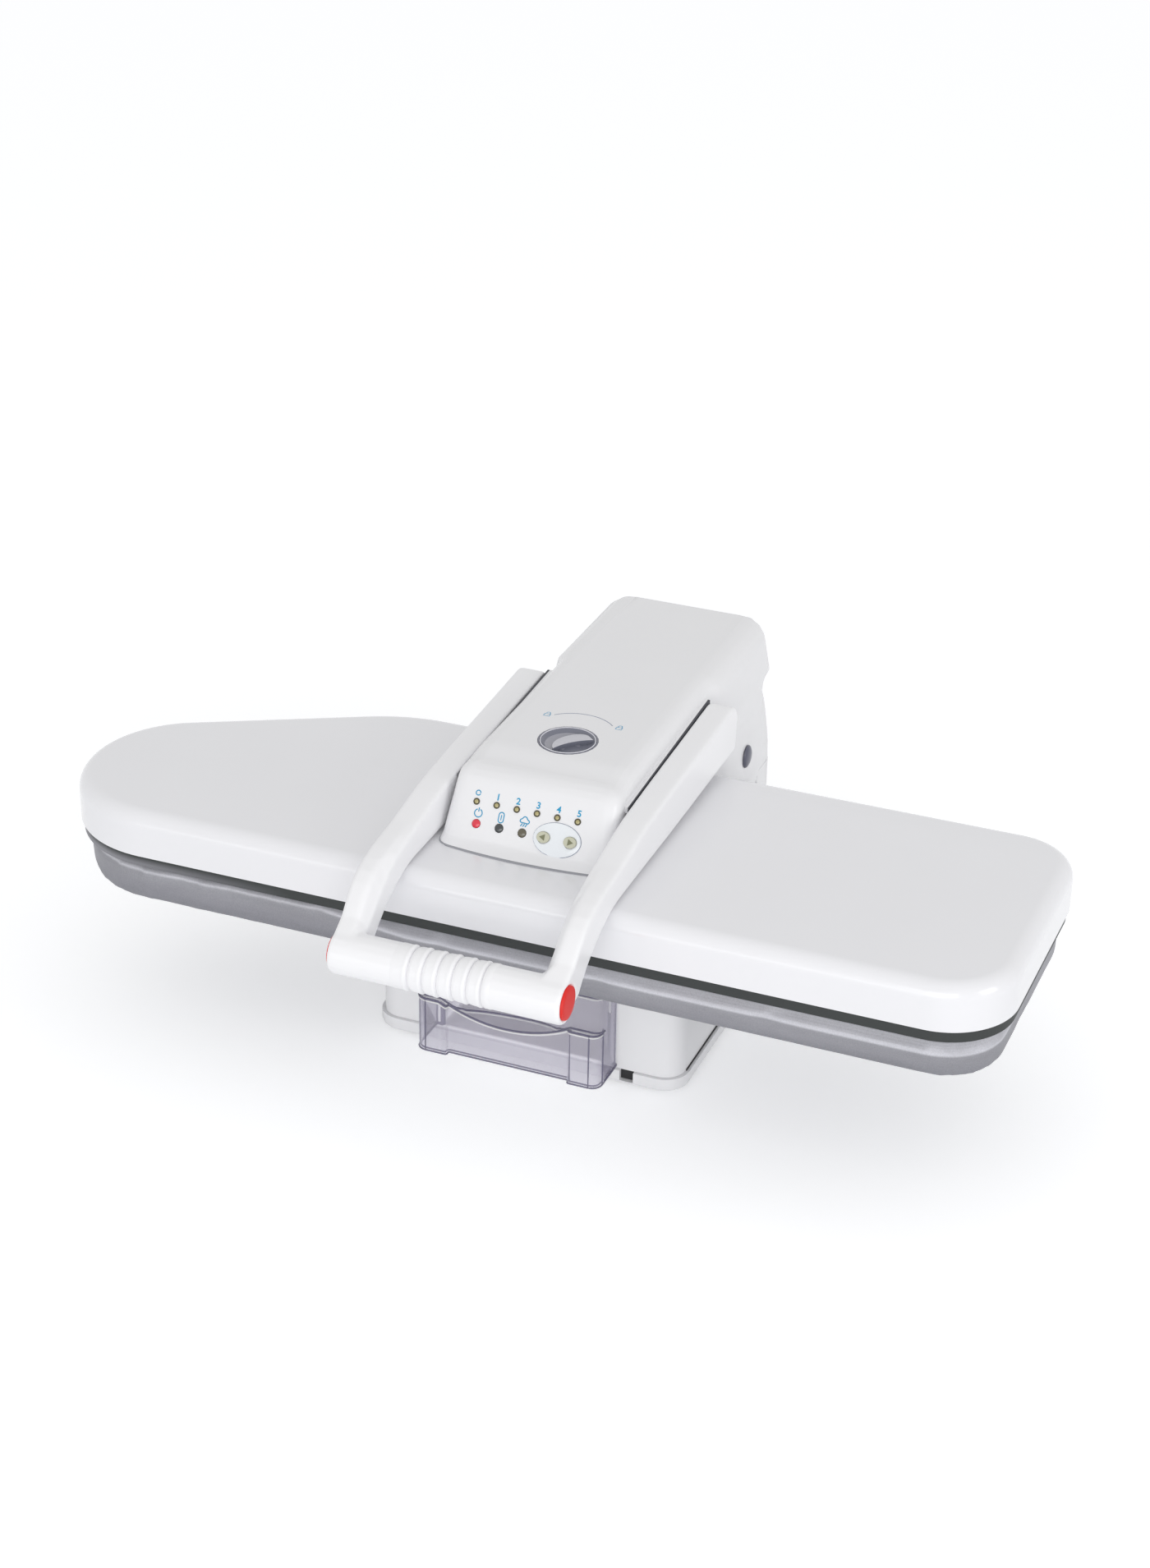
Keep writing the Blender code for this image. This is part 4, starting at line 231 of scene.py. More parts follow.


# Glossy ABS has a clear but soft reflection, and rubber a dull one over coarse grain. The bay's
# wall is given a faint glow: painted light that lightens its shaded inside, seen through the tank.
BAY_PAINTED_GLOW = 0.34
white_abs = moulded_plastic("glossy_white_abs", "#F1F1F3", 0.26)
black_rubber = moulded_plastic("black_rubber", "#2B2B2D", 0.8, 0.4, 0.02)
# The bay's white glows as painted light, though it is no lamp.
bay_white_painted_glow = moulded_plastic("white_abs_painted_glow", "#F4F4F6", 0.3)
tree = bay_white_painted_glow.node_tree
adjust(tree, tree.nodes["Principled BSDF"], {"Emission Color": (1, 1, 1, 1), "Emission Strength": BAY_PAINTED_GLOW})
dress(white_abs, "base_shell")
dress(bay_white_painted_glow, "tank_bay")
dress(black_rubber, "foot_1", "foot_2", "foot_3", "foot_4")


# Water tank: clear polycarbonate with a violet tint, moulded in one piece. Its front has two
# thick corner blocks, a hollow panel between them and a scooped lip for the fingers.
TANK_WALL = 0.0020
BLOCK_INNER = 0.0540
PANEL_SET_BACK = 0.0045
LIP_HEIGHT = 0.0500
SCOOP_RADIUS = 0.1196
SCOOP_DEPTH = 0.0150
SCOOP_MIDDLE = -0.0035
TANK_CORNER = 0.0090
UPPER_CORNER = 0.0080
UPPER_SET_BACK = 0.0140
BLOCK_ROUND = 0.0020
PANEL_ROUND = 0.0015
EDGE_LINE = 0.0008
GLINT_LINE = 0.0005
GLINT_SHIFT = (0, -0.0003, -0.0017)


def select_where(piece, kind, test):
    """In edit mode, select the vertices, edges or faces whose middle passes a test."""
    mode = {"verts": "VERT", "edges": "EDGE", "faces": "FACE"}[kind]
    bpy.ops.mesh.select_all(action="DESELECT")
    bpy.ops.mesh.select_mode(type=mode)
    shape = bmesh.from_edit_mesh(piece.data)
    for item in getattr(shape, kind):
        if kind == "verts":
            middle = item.co
        elif kind == "edges":
            middle = (item.verts[0].co + item.verts[1].co) / 2
        else:
            middle = item.calc_center_median()
        if test(item, middle):
            item.select_set(True)
    shape.select_flush_mode()
    bmesh.update_edit_mesh(piece.data)


def first_point(name):
    """A new piece of one vertex, left in edit mode and selected, and that vertex's place."""
    bpy.ops.object.select_all(action="DESELECT")
    bpy.ops.mesh.primitive_plane_add(size=0.001, location=(0, 0, 0))
    piece = bpy.context.object
    piece.name = name
    piece.data.name = name
    bpy.ops.object.mode_set(mode="EDIT")
    select_where(piece, "verts", lambda v, c: v.index > 0)
    bpy.ops.mesh.delete(type="VERT")
    bpy.ops.mesh.select_mode(type="VERT")
    bpy.ops.mesh.select_all(action="SELECT")
    return piece, Vector(bmesh.from_edit_mesh(piece.data).verts[:][0].co)


def on_circle(x, y, radius, degrees, level):
    """A point of a circle at an angle."""
    angle = math.radians(degrees)
    return Vector((x + radius * math.cos(angle), y + radius * math.sin(angle), level))


def drawn_face(name, turns, level, steps=10):
    """A flat face, left in edit mode and selected. Its rim is drawn turn by turn: each is an
    arc about a centre (x, y) with a radius, from one angle to another, joined by straight runs."""
    piece, at = first_point(name)
    started = False
    for x, y, radius, start, end in turns:
        first = on_circle(x, y, radius, start, level)
        if not started:
            bpy.ops.transform.translate(value=first - at)
            started = True
        elif (first - at).length > 0.00002:
            bpy.ops.mesh.extrude_region_move(TRANSFORM_OT_translate={"value": first - at})
        count = max(2, round(steps * abs(end - start) / 90))
        bpy.ops.mesh.spin(steps=count, angle=math.radians(abs(end - start)), center=(x, y, level),
                          axis=(0, 0, -1 if end > start else 1))
        at = on_circle(x, y, radius, end, level)
    bpy.ops.mesh.select_all(action="SELECT")
    bpy.ops.mesh.remove_doubles(threshold=0.00001)
    bpy.ops.mesh.select_all(action="SELECT")
    bpy.ops.mesh.edge_face_add()
    shape = bmesh.from_edit_mesh(piece.data)
    for face in shape.faces:
        if face.normal.z < 0:
            face.normal_flip()
    bmesh.update_edit_mesh(piece.data)
    return piece


def raise_face(height):
    """Extrude the selected flat face straight up into a closed block."""
    bpy.ops.mesh.extrude_region_move(TRANSFORM_OT_translate={"value": (0, 0, height)})
    bpy.ops.mesh.select_all(action="SELECT")
    bpy.ops.mesh.normals_make_consistent(inside=False)


def boolean(piece, other, operation):
    """Cut or join with another piece, which is used up."""
    bpy.ops.object.select_all(action="DESELECT")
    bpy.context.view_layer.objects.active = piece
    change = piece.modifiers.new("boolean", "BOOLEAN")
    change.operation = operation
    change.solver = "EXACT"
    change.object = other
    bpy.ops.object.modifier_apply(modifier=change.name)
    bpy.data.objects.remove(other)


def modified(piece, kind, **settings):
    """Add a modifier with its settings and apply it."""
    take(piece)
    change = piece.modifiers.new(kind.lower(), kind)
    for key, value in settings.items():
        setattr(change, key, value)
    bpy.ops.object.modifier_apply(modifier=change.name)


tank_box_low, tank_box_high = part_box("water_tank")
tank_half = tank_box_high[0]
tank_rear_half = tank_half - 0.006
tank_face = tank_box_low[1]
tank_rear = tank_box_high[1]
tank_floor, tank_rim = tank_box_low[2], tank_box_high[2]
tank_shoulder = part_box("base_shell")[0][1] - 0.0004
lip_level = tank_floor + LIP_HEIGHT


def tank_plan(front_turns):
    """The tank's plan: the given front, then the step at the base's face and the inner body."""
    back = [(tank_half - 0.001, tank_shoulder - 0.001, 0.001, 0, 90),
            (tank_rear_half + 0.0005, tank_shoulder + 0.0005, 0.0005, 270, 180),
            (tank_rear_half - 0.003, tank_rear - 0.003, 0.003, 0, 90),
            (-tank_rear_half + 0.003, tank_rear - 0.003, 0.003, 90, 180),
            (-tank_rear_half - 0.0005, tank_shoulder + 0.0005, 0.0005, 360, 270),
            (-tank_half + 0.001, tank_shoulder - 0.001, 0.001, 90, 180)]
    return front_turns + back


panel_face = tank_face + PANEL_SET_BACK
lower_front = [(-tank_half + TANK_CORNER, tank_face + TANK_CORNER, TANK_CORNER, 180, 270),
               (-BLOCK_INNER - BLOCK_ROUND, tank_face + BLOCK_ROUND, BLOCK_ROUND, 270, 360),
               (-BLOCK_INNER + PANEL_ROUND, panel_face - PANEL_ROUND, PANEL_ROUND, 180, 90),
               (BLOCK_INNER - PANEL_ROUND, panel_face - PANEL_ROUND, PANEL_ROUND, 90, 0),
               (BLOCK_INNER + BLOCK_ROUND, tank_face + BLOCK_ROUND, BLOCK_ROUND, 180, 270),
               (tank_half - TANK_CORNER, tank_face + TANK_CORNER, TANK_CORNER, 270, 360)]
water_tank = drawn_face("water_tank_clear", tank_plan(lower_front), tank_floor, 6)
raise_face(LIP_HEIGHT)
bpy.ops.object.mode_set(mode="OBJECT")
bpy.ops.object.select_all(action="DESELECT")
bpy.ops.mesh.primitive_cylinder_add(vertices=96, radius=SCOOP_RADIUS, depth=0.060,
                                    location=(SCOOP_MIDDLE, tank_face, lip_level - SCOOP_DEPTH + SCOOP_RADIUS),
                                    rotation=(math.pi / 2, 0, 0))
boolean(water_tank, bpy.context.object, "DIFFERENCE")
upper_front = [(-tank_half + UPPER_CORNER, tank_face + UPPER_SET_BACK, UPPER_CORNER, 180, 270),
               (-0.052, tank_face + 0.018, 0.012, 270, 315),
               (0, tank_face - 0.034, 0.0600, 132, 48),
               (0.052, tank_face + 0.018, 0.012, 225, 270),
               (tank_half - UPPER_CORNER, tank_face + UPPER_SET_BACK, UPPER_CORNER, 270, 360)]
upper = drawn_face("upper_part", tank_plan(upper_front), tank_floor + 0.001, 12)
raise_face(tank_rim - tank_floor - 0.001)
bpy.ops.object.mode_set(mode="OBJECT")
boolean(water_tank, upper, "UNION")
bpy.ops.object.mode_set(mode="EDIT")
select_where(water_tank, "faces", lambda f, c: c.z > tank_rim - 0.0002 and f.normal.z > 0.9)
bpy.ops.mesh.delete(type="FACE")
bpy.ops.object.mode_set(mode="OBJECT")
modified(water_tank, "SOLIDIFY", thickness=TANK_WALL, offset=-1.0)

# The sharp edges, and those where the round corners start, are drawn as fine dark tubes: painted
# shade for the dark that thick clear plastic shows along its edges. A paler tube under the rim is a painted
# highlight, the light caught there.
bpy.ops.object.mode_set(mode="EDIT")
select_where(water_tank, "edges", lambda e, c: c.y < tank_shoulder + 0.004 and (
    e.calc_face_angle(0) > math.radians(32)
    or abs(abs(c.x) - tank_half + TANK_CORNER) < 0.0004 and abs(c.y - tank_face) < 0.0004
    or abs(abs(c.x) - tank_half) < 0.0004 and abs(c.y - tank_face - TANK_CORNER) < 0.0006))
bpy.ops.mesh.duplicate()
bpy.ops.mesh.separate(type="SELECTED")
bpy.ops.object.mode_set(mode="OBJECT")
water_tank.select_set(False)
tank_edges = [piece for piece in bpy.context.selected_objects if piece != water_tank][0]
tank_edges.name = "water_tank_edges"
bpy.context.view_layer.objects.active = tank_edges
bpy.ops.object.duplicate()
tank_glints = bpy.context.object
tank_glints.name = "water_tank_glints"
tank_glints.data.transform(Matrix.Translation(GLINT_SHIFT))
bpy.ops.object.mode_set(mode="EDIT")
select_where(tank_glints, "verts", lambda v, c: c.z < lip_level - SCOOP_DEPTH - 0.004)
bpy.ops.mesh.delete(type="VERT")
bpy.ops.object.mode_set(mode="OBJECT")
for line, thickness in ((tank_edges, EDGE_LINE), (tank_glints, GLINT_LINE)):
    take(line)
    bpy.ops.object.convert(target="CURVE")
    line.data.bevel_depth = thickness
    line.data.bevel_resolution = 2
    bpy.ops.object.convert(target="MESH")


def clear_plastic(name, face_code, edge_code, face_alpha, edge_alpha):
    """Clear polycarbonate: a thin tinted film seen face on, dark and dense seen along its edge."""
    made, tree, shader = new_material(name)
    edge_on = add_node(tree, "LayerWeight", {"Blend": 0.25})
    tint = add_node(tree, "Mix", {"data_type": "RGBA", 6: linear(face_code), 7: linear(edge_code)},
                    i0=edge_on.outputs["Facing"])
    place = add_node(tree, "TexCoord").outputs["Object"]
    flow = add_node(tree, "TexNoise", {"Scale": 1 / 0.02, "Detail": 1.0}, Vector=place)
    haze = add_node(tree, "MapRange", {"To Min": 0.04, "To Max": 0.10}, Value=flow.outputs["Fac"])
    bump = add_node(tree, "Bump", {"Strength": 0.6, "Distance": 0.0006}, Height=flow.outputs["Fac"])
    thick = add_node(tree, "MapRange", {"To Min": face_alpha, "To Max": edge_alpha},
                     Value=edge_on.outputs["Facing"])
    lit = add_node(tree, "LightPath")
    solid = add_node(tree, "MapRange", {"To Min": 0.12, "To Max": 1.0}, Value=lit.outputs["Is Camera Ray"])
    dense = add_node(tree, "Math", {"operation": "MULTIPLY"}, i0=thick.outputs[0], i1=solid.outputs[0])
    adjust(tree, shader, {"IOR": 1.58, "Coat Weight": 0.5}, Base_Color=tint.outputs[2],
           Roughness=haze.outputs[0], Normal=bump.outputs[0], Alpha=dense.outputs[0])
    return made


tank_clear = clear_plastic("clear_polycarbonate", "#E6E1F4", "#5F5A7E", 0.09, 0.80)
# The edge tubes' dark tint is painted shade, not a colour of the plastic.
tank_edge = clear_plastic("polycarbonate_edge", "#5A5578", "#2C2846", 0.66, 0.95)
finish_piece(water_tank, tank_clear, "water_tank", angle=40)
finish_piece(tank_edges, tank_edge, "water_tank", angle=60)
tank_glint = moulded_plastic("lit_polycarbonate_edge", "#FFFFFF", 0.1)
tank_glint.node_tree.nodes["Principled BSDF"].inputs["Alpha"].default_value = 0.75
finish_piece(tank_glints, tank_glint, "water_tank", angle=60)
black_nylon = moulded_plastic("black_glass_filled_nylon", "#3A3D40", 0.5)
dress(white_abs, "tank_valve")
dress(black_rubber, "valve_seal")
dress(black_nylon, "valve_socket")


# Tray: the base's floor moulding. A finger notch is cut beside the tank with a black block in it,
# painted shade for its dark inside, and a black seal runs along the joint with the shell on both sides.
NOTCH = (0.0858, 0.0978)
SEAL_FROM_END = 0.022


def block(name, low, high, turn=0.0):
    """A box between two corners, turned a little about the X axis where asked."""
    bpy.ops.object.select_all(action="DESELECT")
    bpy.ops.mesh.primitive_cube_add(size=1, location=[(a + b) / 2 for a, b in zip(low, high)],
                                    rotation=(turn, 0, 0), scale=[b - a for a, b in zip(low, high)])
    piece = bpy.context.object
    piece.name = name
    settle()
    return piece


def extra(piece, finish, body):
    """Give a small added piece its material and the body that it rides on."""
    piece.data.materials.clear()
    piece.data.materials.append(finish)
    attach(piece, body)


tray_low, tray_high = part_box("bottom_tray")
tray = merged_copy("bottom_tray", "bottom_tray_skin")
boolean(tray, block("notch_cutter", (NOTCH[0], tray_low[1] - 0.002, tray_low[2] + 0.0028),
                    (NOTCH[1], tray_low[1] + 0.010, tray_high[2] + 0.001)), "DIFFERENCE")
finish_piece(tray, white_abs, "bottom_tray")
# The black block in the notch is painted shade.
extra(block("notch_shade", (NOTCH[0], tray_low[1] + 0.004, tray_low[2] + 0.0030),
            (NOTCH[1], tray_low[1] + 0.009, tray_high[2])), black_rubber, body_of["bottom_tray"])
for side, word in ((-1, "left"), (1, "right")):
    ends = sorted((side * 0.1290, side * (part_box("base_shell")[1][0] + 0.0007)))
    extra(block("seal_" + word, (ends[0], tray_low[1] + SEAL_FROM_END, tray_high[2] - 0.0002),
                (ends[1], tray_high[1] - SEAL_FROM_END, tray_high[2] + 0.0014)),
          black_rubber, body_of["bottom_tray"])


# Pump and supply: a small pump in rubber cradles, silicone hoses, a circuit board with its
# relay, and the gland where the mains lead would leave.
milky_silicone = moulded_plastic("milky_silicone", "#D9DCD8", 0.4)
green_board = moulded_plastic("green_circuit_board", "#2F6B45", 0.45)
dress(black_nylon, "pump", "power_relay", "cord_gland")
dress(black_rubber, "pump_cradle")
dress(milky_silicone, "suction_hose", "feed_hose", "steam_hose")
dress(green_board, "power_board", "control_board")


# Hinge: a column of zinc-plated steel plates with brass bushes, a ground shaft and two
# torsion springs, under a white moulded housing whose two halves meet in a thin dark seam.
SEAM_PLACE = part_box("rear_housing")[1][1] - 0.0432
SEAM_HALF = 0.0005


def metal(name, code, roughness, grain_mm=0.4, stretch=(1, 1, 1)):
    """A drawn, rolled or cast metal: its grain has a direction where stretch gives one."""
    made, tree, shader = new_material(name)
    place = add_node(tree, "TexCoord").outputs["Object"]
    laid = add_node(tree, "Mapping", {"Scale": stretch}, Vector=place)
    grain = add_node(tree, "TexNoise", {"Scale": 1000 / grain_mm, "Detail": 3.0}, Vector=laid.outputs[0])
    base = linear(code)
    deep = tuple(c * 0.86 for c in base[:3]) + (1.0,)
    shade = add_node(tree, "Mix", {"data_type": "RGBA", 6: deep, 7: base}, i0=grain.outputs["Fac"])
    wear = add_node(tree, "MapRange", {"To Min": roughness * 0.8, "To Max": roughness * 1.25},
                    Value=grain.outputs["Fac"])
    bump = add_node(tree, "Bump", {"Strength": 1.0, "Distance": 0.00001}, Height=grain.outputs["Fac"])
    adjust(tree, shader, {"Metallic": 1.0}, Base_Color=shade.outputs[2], Roughness=wear.outputs[0],
           Normal=bump.outputs[0])
    return made


def cut_across(place, normal, **clear):
    """In edit mode, cut the whole mesh by a plane, and clear one side where asked."""
    bpy.ops.mesh.select_all(action="SELECT")
    bpy.ops.mesh.bisect(plane_co=place, plane_no=normal, **clear)


# Zinc plating is a cool, cloudy grey, ground steel is brighter along its grain, and turned
# brass is warm.
zinc = metal("zinc_plated_steel", "#B3B4B2", 0.42, 1.2)
steel = metal("ground_steel", "#9A9CA0", 0.3, 0.4, (12, 1, 1))
brass = metal("turned_brass", "#B89A5A", 0.35)
dress(zinc, "hinge_column")
dress(brass, "hinge_bush_left", "hinge_bush_right")
dress(steel, "hinge_shaft", "lift_spring_left", "lift_spring_right")
dress(white_abs, "rear_housing")
shade_grey = moulded_plastic("shaded_grey_abs", "#74757E", 0.5)
seam = merged_copy("rear_housing", "housing_seam")
bpy.ops.object.mode_set(mode="EDIT")
cut_across((0, SEAM_PLACE - SEAM_HALF, 0), (0, 1, 0), clear_inner=True)
cut_across((0, SEAM_PLACE + SEAM_HALF, 0), (0, 1, 0), clear_outer=True)
bpy.ops.mesh.select_all(action="SELECT")
bpy.ops.transform.resize(value=(1.006, 1, 1.002), center_override=(0, SEAM_PLACE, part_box("rear_housing")[0][2]))
bpy.ops.object.mode_set(mode="OBJECT")
extra(seam, shade_grey, body_of["rear_housing"])


# Pressing board: a silvered cotton cover drawn over foam and a steel pan. Its upper edge is
# soft and round, and it gathers in small folds where the hem pulls it round the nose.
PAD_INSET = 0.0085
PAD_CHAMFER = 0.0120
PAD_HEM = 0.0040
PAD_VOXEL = 0.0045
PAD_CAP = 0.0012
HELD_INSIDE = 0.0300
CLOTH_STEPS = 20
FOLD_REACH = 0.0240
FOLD_DEPTH = 0.0036
WAVE_DEPTH = 0.0010
CREST_TAUT = -0.08
CREST_FADE = 0.08
CREST_LIFT = 0.0075
CREST_DROP = 0.0030
HEM_DROP = 0.0026
lid_low, lid_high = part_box("plate_cover")
lid_front = lid_low[1]
pad_low, pad_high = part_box("board_cover")
LID_HALF = 0.4150
LID_DEPTH = 0.2710
NOSE_RADIUS = 0.0950
BEND_RADIUS = 0.1500
SQUARE_FRONT = 0.0600
SQUARE_BACK = 0.0520
TAPER = 28.6


def board_turns(inset):
    """The board's outline, drawn in by an inset: square end at the right, tapered nose at the left."""
    sine, cosine = math.sin(math.radians(TAPER)), math.cos(math.radians(TAPER))
    nose_x = NOSE_RADIUS - LID_HALF
    bend_y = LID_DEPTH - BEND_RADIUS
    bend_x = nose_x + (cosine * (bend_y - NOSE_RADIUS) + BEND_RADIUS - NOSE_RADIUS) / sine
    return [(LID_HALF - SQUARE_FRONT, lid_front + SQUARE_FRONT, SQUARE_FRONT - inset, -90, 0),
            (LID_HALF - SQUARE_BACK, lid_front + LID_DEPTH - SQUARE_BACK, SQUARE_BACK - inset, 0, 90),
            (bend_x, lid_front + bend_y, BEND_RADIUS - inset, 90, 90 + TAPER),
            (nose_x, lid_front + NOSE_RADIUS, NOSE_RADIUS - inset, 90 + TAPER, 270)]


pad = drawn_face("silvered_cover", board_turns(PAD_INSET), pad_low[2] + 0.0004)
pad_height = pad_high[2] - pad_low[2] - 0.0006
raise_face(pad_height)
pad_rim = pad_low[2] + 0.0004 + pad_height
select_where(pad, "edges", lambda e, c: c.z > pad_rim - 0.0001)
bpy.ops.mesh.bevel(offset=PAD_CHAMFER, segments=1)
select_where(pad, "edges", lambda e, c: c.z < pad_low[2] + 0.0005)
bpy.ops.mesh.bevel(offset=PAD_HEM, segments=3)
bpy.ops.object.mode_set(mode="OBJECT")
modified(pad, "REMESH", mode="VOXEL", voxel_size=PAD_VOXEL)


def inside_by(point):
    """How far a point lies inside the board's outline, near enough for the folds and the hold."""
    sine, cosine = math.sin(math.radians(TAPER)), math.cos(math.radians(TAPER))
    y = point.y - lid_front
    nose_x = NOSE_RADIUS - LID_HALF
    taper_gap = NOSE_RADIUS - (-(point.x - nose_x) * sine + (y - NOSE_RADIUS) * cosine)
    gaps = [y, LID_DEPTH - y, LID_HALF - point.x, taper_gap]
    if point.x < nose_x and (point.x - nose_x) * cosine + (y - NOSE_RADIUS) * sine < 0:
        gaps.append(NOSE_RADIUS - math.hypot(point.x - nose_x, y - NOSE_RADIUS))
    for x, centre, radius in ((LID_HALF - SQUARE_FRONT, SQUARE_FRONT, SQUARE_FRONT),
                              (LID_HALF - SQUARE_BACK, LID_DEPTH - SQUARE_BACK, SQUARE_BACK)):
        if point.x > x and (y - centre) * (1 if centre > 0.1 else -1) > 0:
            gaps.append(radius - math.hypot(point.x - x, y - centre))
    return min(gaps)


# The cover is blown up a little by its own pressure, held by its flat top and bottom.
held = pad.vertex_groups.new(name="held")
for vertex in pad.data.vertices:
    flat = vertex.co.z > pad_rim - 0.0006 or vertex.co.z < pad_low[2] + 0.0012
    held.add([vertex.index], 1.0 if flat and inside_by(vertex.co) > HELD_INSIDE else 0.0, "REPLACE")
start = [vertex.co.copy() for vertex in pad.data.vertices]
cloth = pad.modifiers.new("cloth", "CLOTH")
for key, value in (("quality", 5), ("mass", 0.3), ("tension_stiffness", 12), ("compression_stiffness", 12),
                   ("bending_stiffness", 0.4), ("use_pressure", True), ("uniform_pressure_force", 4.0),
                   ("vertex_group_mass", "held"), ("shrink_min", -0.012)):
    setattr(cloth.settings, key, value)
cloth.settings.effector_weights.gravity = 0.0
cloth.point_cache.frame_start = 1
cloth.point_cache.frame_end = CLOTH_STEPS
for step in range(1, CLOTH_STEPS + 1):
    bpy.context.scene.frame_set(step)
bpy.context.view_layer.objects.active = pad
bpy.ops.object.modifier_apply(modifier="cloth")
bpy.context.scene.frame_set(1)
for vertex, before in zip(pad.data.vertices, start):
    moved = vertex.co - before
    if moved.length > PAD_CAP:
        vertex.co = before + moved * (PAD_CAP / moved.length)
modified(pad, "SUBSURF", levels=1, render_levels=1)

# Folds of the hem: short, slanting and uneven, deepest round the nose and at the grip's left.
pad_middle = lid_front + LID_DEPTH / 2


def share_of(value):
    """A value held between nought and one."""
    return max(0.0, min(1.0, value))


for vertex in pad.data.vertices:
    point = vertex.co
    side = max(0.0, 1.0 - inside_by(point) / FOLD_REACH)
    rise = (point.z - pad_low[2]) / (pad_high[2] - pad_low[2])
    if side <= 0 or rise < 0.02 or rise > 0.9:
        continue
    band = math.sin(math.pi * min(1.0, rise / 0.9)) ** 0.7
    lean = point.x + 0.6 * (point.y - lid_front) - 0.55 * point.z
    gather = 0.06 + 0.7 * share_of((-0.17 - point.x) / 0.12)
    if point.y < pad_middle:
        gather += 0.5 * math.exp(-((point.x + 0.128) / 0.022) ** 2)
    waves = (noise.noise(Vector((lean * 62, rise * 0.8, 3.1)))
             + 0.5 * noise.noise(Vector((lean * 150, rise * 1.6, 7.7))))
    slow = noise.noise(Vector((lean * 17, rise * 0.5, 1.3)))
    depth = FOLD_DEPTH * gather * waves + WAVE_DEPTH * slow * (0.2 + gather)
    away = Vector((point.x - max(-0.32, min(0.36, point.x)), point.y - pad_middle, 0.0))
    if away.length > 0:
        vertex.co = point + away.normalized() * depth * band * side
for vertex in pad.data.vertices:
    rim_share = share_of(1.0 - (inside_by(vertex.co) - 0.006) / 0.014)
    up_share = share_of((vertex.co.z - pad_low[2] - 0.018) / 0.010)
    taut = share_of((CREST_TAUT - vertex.co.x) / CREST_FADE)
    vertex.co.z += (CREST_LIFT * taut - CREST_DROP) * up_share * rim_share
    low_share = share_of(1.0 - (vertex.co.z - pad_low[2]) / 0.012)
    vertex.co.z -= HEM_DROP * low_share * rim_share
    vertex.co.z = min(pad_high[2], vertex.co.z)

# Silvered cotton: aluminium flakes on a plain weave, which glitter faintly, in broad streaks.
# Its colour is painted by height: painted shade low on the side, a painted highlight on the crest
# and painted light over the band above it. The weave is drawn at 0.9 mm, because a real one of about 0.4 mm is too
# fine to show.
silvered, tree, shader = new_material("silvered_cotton")
FLAKE_MM = 1.1
THREAD_MM = 0.9
place = add_node(tree, "TexCoord").outputs["Object"]
flakes = add_node(tree, "TexNoise", {"Scale": 1000 / FLAKE_MM, "Detail": 3.0, "Roughness": 0.7}, Vector=place)
streaked = add_node(tree, "Mapping", {"Scale": (6, 10, 42)}, Vector=place)
streaks = add_node(tree, "TexNoise", {"Scale": 1.0, "Detail": 4.0, "Roughness": 0.6}, Vector=streaked.outputs[0])
both = add_node(tree, "Math", {"operation": "ADD"}, i0=flakes.outputs["Fac"], i1=streaks.outputs["Fac"])
spread = add_node(tree, "MapRange", {"From Min": 0.7, "From Max": 1.3}, Value=both.outputs[0])
apart = add_node(tree, "SeparateXYZ", Vector=place)
taut = add_node(tree, "MapRange", {"From Min": CREST_TAUT - CREST_FADE, "From Max": CREST_TAUT,
                                   "To Min": CREST_LIFT, "To Max": 0.0}, Value=apart.outputs["X"])
level = add_node(tree, "Math", {"operation": "SUBTRACT"}, i0=apart.outputs["Z"], i1=taut.outputs[0])
rise = add_node(tree, "MapRange", {"From Min": pad_low[2], "From Max": pad_high[2]}, Value=level.outputs[0])
# The ramp by height is painted light and shade.
height_painted_light = add_node(tree, "ValToRGB", Fac=rise.outputs[0])
steps = height_painted_light.color_ramp.elements
steps[0].position, steps[0].color = 0.05, linear("#8C8C93")
steps[1].position, steps[1].color = 0.92, linear("#CFCFD6")
for position, code in ((0.46, "#98989E"), (0.53, "#9D9DA3"), (0.58, "#D0D0D7"), (0.63, "#C3C3CA"),
                       (0.78, "#CFCFD6")):
    steps.new(position).color = linear(code)
thread = add_node(tree, "MapRange", {"To Min": 0.80, "To Max": 1.10}, Value=spread.outputs[0])
shade = add_node(tree, "Mix", {"data_type": "RGBA", "blend_type": "MULTIPLY", 0: 1.0}, i6=height_painted_light.outputs["Color"],
                 i7=thread.outputs[0])
gloss = add_node(tree, "MapRange", {"To Min": 0.42, "To Max": 0.60}, Value=flakes.outputs["Fac"])
warp, weft = [add_node(tree, "TexWave", {"bands_direction": way, "Scale": 1000 / THREAD_MM / 6.283,
                                         "Distortion": 0.6}, Vector=place) for way in "XZ"]
weave = add_node(tree, "Math", {"operation": "MULTIPLY"}, i0=warp.outputs["Fac"], i1=weft.outputs["Fac"])
bump = add_node(tree, "Bump", {"Strength": 0.7, "Distance": 0.00008}, Height=weave.outputs[0])
adjust(tree, shader, {"Metallic": 0.35}, Base_Color=shade.outputs[2], Roughness=gloss.outputs[0],
       Normal=bump.outputs[0])
finish_piece(pad, silvered, "board_cover", "board_foam", angle=180)
dress(zinc, "board_pan")


